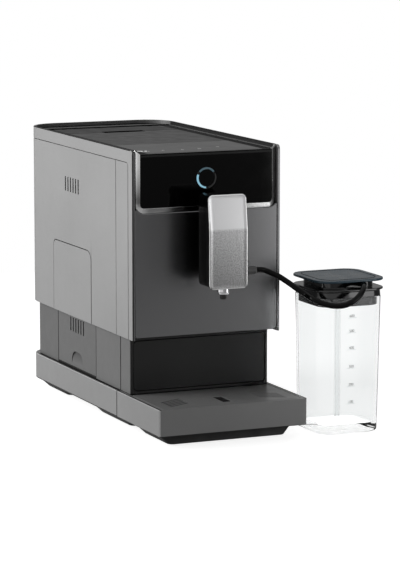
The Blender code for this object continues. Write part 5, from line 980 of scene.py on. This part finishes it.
def make_trim():
    """Metal band round the control panel, sloping back outwards, swept down, across and up."""
    middle_x = TRIM_HALF - TRIM_CORNER
    middle_z = TRIM_LOW + TRIM_CORNER
    right = []
    for share in LEG_SHARES:
        outer = (TRIM_HALF, TOP + (TRIM_LEG_END - TOP) * share)
        inner = (TRIM_HALF - TRIM_LEG, TRIM_INNER_TOP + (TRIM_LEG_END - TRIM_INNER_TOP) * share)
        right.append((outer, inner, 1.0))
    for turn in range(0, -91, -9):
        across, down = math.cos(math.radians(turn)), math.sin(math.radians(turn))
        outer = (middle_x + TRIM_CORNER * across, middle_z + TRIM_CORNER * down)
        inner = (
            middle_x + (TRIM_CORNER - TRIM_LEG) * across,
            middle_z + (TRIM_CORNER - TRIM_BAND) * down,
        )
        right.append((outer, inner, max(across, TRIM_FLAT_SHARE)))
    left = [((-outer[0], outer[1]), (-inner[0], inner[1]), lean) for outer, inner, lean in right]
    rings = []
    for outer, inner, lean in left + right[::-1]:
        ring = []
        for share, depth in TRIM_PROFILE:
            if depth < TRIM_REAR:
                depth *= lean
            across = outer[0] + (inner[0] - outer[0]) * share
            height = outer[1] + (inner[1] - outer[1]) * share
            ring.append((across, max(depth, brow_depth(height)), height))
        rings.append(ring)
    place(loft("trim_band", rings, smooth=50), "trim_metal", "machine", "front_trim")


# Inner and outer side, front and rear of the tray basin's side flange, and its height.
FLANGE_INNER = 0.0798
FLANGE_OUTER = 0.0847
FLANGE_FRONT = -0.0706
FLANGE_REAR = 0.0490
FLANGE_LOW = 0.0386
FLANGE_TOP = 0.0396
FLANGE_CORNER = 0.0006
FLANGE_SOFT = 0.0002


def make_flanges():
    """Flange along each side of the tray's basin, up to its skirt."""
    sections = (
        (FLANGE_LOW, FLANGE_SOFT),
        (FLANGE_LOW + FLANGE_SOFT, 0),
        (FLANGE_TOP - FLANGE_SOFT, 0),
        (FLANGE_TOP, FLANGE_SOFT),
    )
    for side, way in (("left", -1), ("right", 1)):
        rings = []
        for height, inset in sections:
            width = (FLANGE_INNER + inset, FLANGE_OUTER - inset)
            depth = (FLANGE_FRONT + inset, FLANGE_REAR - inset)
            outline = rounded(*width, *depth, FLANGE_CORNER)
            rings.append([(way * across, along, height) for across, along in outline])
        place(loft(f"basin_flange_{side}", rings), "inner_black", "drawer")


RING_HEIGHT = 0.2882
# Radius and depth of the light ring's section.
RING_SECTION = (
    (0.0100, 0.0019),
    (0.0100, 0.0003),
    (0.0103, 0.0001),
    (0.0114, 0.0001),
    (0.0117, 0.0003),
    (0.0117, 0.0019),
)


def make_ring_arc(name, start, end, level, glow=None, *nodes):
    """One stretch of the light ring, between two angles counted from the right."""
    steps = max(round((end - start) / 5), 2)
    rings = []
    for index in range(steps + 1):
        turn = math.radians(start + (end - start) * index / steps)
        across, up = math.cos(turn), math.sin(turn)
        rings.append([(radius * across, depth, RING_HEIGHT + radius * up) for radius, depth in RING_SECTION])
    place(loft(name, rings), "light_blue", "machine", *nodes, look=ring_look(name, level, glow))


def make_ring():
    make_ring_arc("ring_lit", 159, 264, 60, (134, 184, 204), "light_ring")
    make_ring_arc("ring_dim", 39, 140, 50, (58, 82, 92))
    make_ring_arc("ring_off", -78, 23, 44)


PLATE_FACE = -0.0605
PLATE_REAR = -0.0579
PLATE_CORNER = 0.0055
PLATE_CORNER_LEAST = 0.0008
PLATE_SPLIT = -0.0470
PLATE_LEAN = 0.0050
PLATE_SOFT = 0.0018
# Heights from the bend at which the plate is cut across.
PLATE_CUTS = (-0.0018, -0.0009, 0.0, 0.0009, 0.0018, 0.0120, 0.0250)
# Inset from the outline, and the depth behind the face.
PLATE_PROFILE = (
    (0.0009, PLATE_REAR - PLATE_FACE),
    (0.0000, 0.0017),
    (0.0000, 0.0009),
    (0.0003, 0.0003),
    (0.0008, 0.0000),
    (0.0013, 0.0000),
    (0.0017, 0.0003),
    (0.0021, 0.0005),
    (0.0050, 0.0004),
)


def lean_plate(shape):
    """Cuts the plate across near the bend, and tilts what is above the bend backwards."""
    for offset in PLATE_CUTS:
        everything = shape.verts[:] + shape.edges[:] + shape.faces[:]
        level = PLATE_BEND + offset
        bmesh.ops.bisect_plane(shape, geom=everything, plane_co=(0, 0, level), plane_no=(0, 0, 1))
    slope = PLATE_LEAN / (PLATE_TOP - PLATE_BEND)
    for vertex in shape.verts:
        rise = vertex.co.z - PLATE_BEND
        if rise > PLATE_SOFT:
            lean = rise * slope
        else:
            lean = slope * max(rise + PLATE_SOFT, 0) ** 2 / (4 * PLATE_SOFT)
        share = (PLATE_SPLIT - vertex.co.y) / (PLATE_SPLIT - PLATE_FACE)
        vertex.co.y += lean * min(share, 1)


def make_plate():
    """The spout's metal plate with its rolled rim, leaning back above the bend."""
    rings = []
    for inset, depth in PLATE_PROFILE:
        corner = max(PLATE_CORNER - inset, PLATE_CORNER_LEAST)
        outline = rounded(
            -PLATE_HALF + inset, PLATE_HALF - inset, PLATE_LOW + inset, PLATE_TOP - inset, corner
        )
        rings.append([(across, PLATE_FACE + depth, height) for across, height in outline])
    plate = tidy(loft("spout_face", rings), change=lean_plate)
    place(plate, "plate_metal", "spout", "spout_plate")


def lathe(name, profile, centre, steps=56):
    """Closed section of radius and height turned round an upright axis."""
    rings = []
    for index in range(steps):
        turn = 2 * math.pi * index / steps
        across, along = math.cos(turn), math.sin(turn)
        rings.append([(centre[0] + r * across, centre[1] + r * along, height) for r, height in profile])
    return loft(name, rings, True)


NOZZLE_AT = (-0.0010, -0.0480)
NOZZLE_PROFILE = (
    (0.0022, 0.1641),
    (0.0058, 0.1641),
    (0.0062, 0.1643),
    (0.0064, 0.1648),
    (0.0064, 0.1660),
    (0.0066, 0.1663),
    (0.0070, 0.1664),
    (0.0072, 0.1667),
    (0.0072, 0.1711),
    (0.0070, 0.1714),
    (0.0022, 0.1714),
)
TIP_PROFILE = (
    (0.0022, 0.1584),
    (0.0028, 0.1583),
    (0.0033, 0.1585),
    (0.0036, 0.1591),
    (0.0036, 0.1634),
    (0.0034, 0.1637),
    (0.0022, 0.1637),
)


def make_nozzle():
    place(lathe("nozzle_body", NOZZLE_PROFILE, NOZZLE_AT), "nozzle_chrome", "spout", "coffee_nozzle")
    dark = matt("tip_black", tone(12), 0.2).moulded(900, 0.00001)
    place(lathe("nozzle_end", TIP_PROFILE, NOZZLE_AT, 40), "black", "spout", "nozzle_tip", look=dark)


JUG_AT = (0.1440, -0.0400)
JUG_HEIGHT = 0.1550
# Height, half width and corner of the jug's skin: up the outside, over the lip and down inside.
JUG_SKIN = (
    (0.0000, 0.0350, 0.0150),
    (0.0004, 0.0366, 0.0166),
    (0.0013, 0.0376, 0.0176),
    (0.0028, 0.0381, 0.0181),
    (0.0500, 0.0390, 0.0187),
    (0.1000, 0.0399, 0.0193),
    (0.1540, 0.0410, 0.0200),
    (0.1548, 0.0407, 0.0197),
    (0.1550, 0.0400, 0.0190),
    (0.1550, 0.0390, 0.0180),
    (0.1546, 0.0386, 0.0176),
    (0.1000, 0.0374, 0.0168),
    (0.0500, 0.0365, 0.0162),
    (0.0145, 0.0358, 0.0156),
    (0.0120, 0.0352, 0.0150),
    (0.0106, 0.0338, 0.0136),
    (0.0101, 0.0315, 0.0113),
)


def make_jug():
    rings = []
    for height, half, corner in JUG_SKIN:
        outline = around(JUG_AT, half, half, corner, 14)
        rings.append([(across, along, height) for across, along in outline])
    place(loft("jug_body", rings, smooth=40), "jug_clear", "machine", "milk_jug")


SCALE_LEVELS = (0.0347, 0.0547, 0.0754, 0.0965, 0.1158, 0.1328)
SCALE_LEFT = 0.1362
SCALE_RIGHT = 0.1475
JUG_FOOT_HALF = 0.0381
JUG_TOP_HALF = 0.0410
SCALE_GAP = 0.00012
SCALE_STROKE = 0.00011
NUMBER_SIZE = 0.0044
NUMBER_THICK = 0.00004
NUMBER_RISE = 0.0008
NUMBER_MIDDLE = 0.0025


def scale_front(height):
    """Just outside the jug's front face at a height."""
    return JUG_AT[1] - JUG_FOOT_HALF - (JUG_TOP_HALF - JUG_FOOT_HALF) * height / JUG_HEIGHT - SCALE_GAP


def make_scale():
    """Plain graduation on the jug: a line and a number at each hundred."""
    ink = Look("scale_ink", tone(96), 0.5).cloud(300, 0.15).grain(900, 0.00001, 0.2)
    for count, height in enumerate(SCALE_LEVELS, 1):
        front = scale_front(height)
        ends = [(SCALE_LEFT, front, height), (SCALE_RIGHT, front, height)]
        place(curve_tube(f"scale_line_{count}", ends, SCALE_STROKE), "inner_black", "machine", look=ink)
        data = bpy.data.curves.new(f"scale_number_{count}", "FONT")
        data.body = str(count * 100)
        data.size = NUMBER_SIZE
        data.extrude = NUMBER_THICK
        data.align_x = "CENTER"
        number = bpy.data.objects.new(f"scale_number_{count}", data)
        middle = (SCALE_LEFT + SCALE_RIGHT) / 2
        number.location = (middle, scale_front(height + NUMBER_MIDDLE), height + NUMBER_RISE)
        number.rotation_euler = (math.radians(90), 0, 0)
        SCENE.collection.objects.link(number)
        place(number, "inner_black", "machine", look=ink)


# Outlines of the touch keys' marks, and the place of each on the panel's top.
CUP_MARK = [(-0.0012, 0.0020), (-0.0012, -0.0010), (-0.0005, -0.0020), (0.0005, -0.0020)]
CUP_MARK += [(0.0012, -0.0010), (0.0012, 0.0020), (-0.0012, 0.0020)]
DROP_MARK = [(0, 0.0030)] + arc((0, -0.0008), 0.0013, 0.0016, 30, -210, 12) + [(0, 0.0030)]
BEAN_MARK = arc((0, 0), 0.0013, 0.0028)
WIDE_MARK = arc((0, 0), 0.0016, 0.0028)
DASH_MARK = [(-0.0009, -0.0014), (0.0009, 0.0014)]
LIT_MARKS = (
    (-0.0692, 0.0310, CUP_MARK),
    (-0.0665, 0.0298, DROP_MARK),
    (-0.0619, 0.0290, BEAN_MARK),
    (-0.0595, 0.0256, DASH_MARK),
)
FAINT_MARKS = (
    (-0.0405, 0.0291, CUP_MARK),
    (-0.0179, 0.0275, DROP_MARK),
    (0.0046, 0.0320, WIDE_MARK),
    (0.0315, 0.0413, CUP_MARK),
)
MARK_HEIGHT = 0.31786
LIT_STROKE = 0.00022
FAINT_STROKE = 0.00020


def make_marks():
    """Plain marks of the touch keys, drawn as fine strokes on the panel's top."""
    bright = Look("icon_white", tone(190), 0.4).cloud(400, 0.05).glow(tone(225), 0.6)
    faint = Look("icon_faint", tone(205), 0.4).cloud(400, 0.05)
    marks = [(*mark, LIT_STROKE, bright) for mark in LIT_MARKS]
    marks += [(*mark, FAINT_STROKE, faint) for mark in FAINT_MARKS]
    for count, (across, along, outline, stroke, look) in enumerate(marks, 1):
        points = [(across + u, along + v, MARK_HEIGHT) for u, v in outline]
        place(curve_tube(f"key_mark_{count}", points, stroke), "inner_black", "machine", look=look)


CAP_LINE_HALF_X = 0.0345
CAP_LINE_HALF_Y = 0.0360
CAP_LINE_CORNER = 0.0150
CAP_LINE_HEIGHT = 0.1757
CAP_LINE_STROKE = 0.0004


def make_cap_line():
    """Fine rounded line inside the border of the jug's cap."""
    outline = around(JUG_AT, CAP_LINE_HALF_X, CAP_LINE_HALF_Y, CAP_LINE_CORNER)
    points = [(across, along, CAP_LINE_HEIGHT) for across, along in outline + outline[:1]]
    dark = matt("cap_line_slate", tone(20, 24, 27), specular=0.0).moulded(2200, 0.00001, 0.3)
    place(curve_tube("cap_line", points, CAP_LINE_STROKE), "lid_slate", "jug_cap", look=dark)


make_trim()
make_flanges()
make_ring()
make_plate()
make_nozzle()
make_jug()
make_scale()
make_marks()
make_cap_line()

# Bevel widths of kept CAD nodes, and the width of those that aren't named.
EDGE_WIDTHS = {
    "top_frame": 0.0004,
    "tray_skirt": 0.0004,
    "control_panel": 0.0012,
    "front_cover": 0.0002,
    "spout_rear_shell": 0.0009,
    "spout_front_shell": 0.0004,
    "jug_lid_base": 0.0006,
    "bean_lid_seal": 0.0,
    "control_board": 0.0,
    "power_board": 0.0,
}
EDGE_WIDTH = 0.0003

for name, item in sorted(NODES.items()):
    slot = item.data.materials[0].name.split(".")[0]
    item.material_slots[0].link = "OBJECT"
    item.material_slots[0].material = NODE_LOOKS.get(name, LOOKS[slot]).material
    if not item.hide_render:
        refine(item, EDGE_WIDTHS.get(name, EDGE_WIDTH))


# Floor, light and surroundings.
FLOOR_RADIUS = 1.15
FLOOR_AT = (0, 0.1, 0)
FLOOR_SEEN = 0.86
FLOOR_IN_GLOSS = 0.15


def add_floor():
    """Pale floor that the camera and glass see nearly white."""
    shape = bmesh.new()
    bmesh.ops.create_circle(shape, cap_ends=True, segments=96, radius=FLOOR_RADIUS)
    mesh = bpy.data.meshes.new("floor")
    shape.to_mesh(mesh)
    shape.free()
    floor = bpy.data.objects.new("floor", mesh)
    floor.location = FLOOR_AT
    SCENE.collection.objects.link(floor)
    look = matt("floor", tone(188), specular=0.2)
    seen, glossy = look.rays()
    seen = look.math("MULTIPLY", seen, FLOOR_SEEN)
    glossy = look.math("MULTIPLY", glossy, FLOOR_IN_GLOSS)
    look.glow((1, 1, 1, 1), look.math("MAXIMUM", seen, glossy))
    mesh.materials.append(look.material)


FILL = 0.12
# Where along X, Y or Z of the direction each ramp starts and ends, and its strength there.
FRONT_RAMP = (-0.16, 0.14, 0.24, 0.76)
BEHIND_RAMP = (-0.35, 0.25, 0.0, 1.0)
REAR_RAMP = (0.10, 0.60, 0.32, 0.60)
LEFT_RAMP = (-0.15, -0.75, 0.0, 0.8)
ABOVE_RAMP = (0.35, 0.9, 0.0, 0.6)
RIGHT_RAMP = (0.70, 0.92, 1.0, 0.35)


def add_world():
    """White for what the camera and glass see, and soft studio surroundings for gloss and fill."""
    world = bpy.data.worlds.new("studio")
    world.use_nodes = True
    SCENE.world = world
    nodes = Nodes(world.node_tree)
    maths = nodes.math
    parts = nodes.new("ShaderNodeSeparateXYZ")
    nodes.join(nodes.new("ShaderNodeTexCoord").outputs["Generated"], parts.inputs[0])

    def ramp(letter, levels):
        return nodes.remap(parts.outputs[letter], *levels, interpolation_type="SMOOTHSTEP")

    behind = ramp("Y", BEHIND_RAMP)
    rear = maths("MULTIPLY", behind, ramp("Z", REAR_RAMP))
    ahead = maths("MULTIPLY", maths("SUBTRACT", 1.0, behind), ramp("Z", FRONT_RAMP))
    sides = maths("MULTIPLY", maths("ADD", rear, ahead), ramp("X", RIGHT_RAMP))
    gloss = maths("MAXIMUM", sides, maths("MAXIMUM", ramp("X", LEFT_RAMP), ramp("Z", ABOVE_RAMP)))
    seen, glossy = nodes.rays()
    shiny = maths("MULTIPLY", glossy, gloss)
    known = maths("MAXIMUM", seen, glossy)
    fill = maths("MULTIPLY", maths("SUBTRACT", 1.0, known), FILL)
    background = nodes.tree.nodes["Background"]
    nodes.join(maths("ADD", maths("MAXIMUM", seen, shiny), fill), background.inputs["Strength"])
    background.inputs["Color"].default_value = (1, 1, 1, 1)


# Name, place, the point it faces, size and power in watts of each light.
LIGHTS = (
    ("key_left", (-1.9, 0.75, 0.95), (0, 0.12, 0.15), (1.4, 1.3), 40),
    ("top_soft", (0.1, 0.2, 1.9), (0, 0.1, 0), (1.6, 1.6), 3),
    ("front_card", (0.45, -0.45, 0.22), (0.02, -0.02, 0.12), (0.30, 0.36), 0.7),
)


def add_light(name, position, target, size, power):
    data = bpy.data.lights.new(name, "AREA")
    data.shape = "RECTANGLE"
    data.size, data.size_y = size
    data.energy = power
    light = bpy.data.objects.new(name, data)
    light.location = position
    light.rotation_euler = (Vector(target) - Vector(position)).to_track_quat("-Z", "Y").to_euler()
    light.visible_camera = False
    SCENE.collection.objects.link(light)


add_floor()
add_world()
for light in LIGHTS:
    add_light(*light)
SCENE.view_settings.view_transform = "Standard"
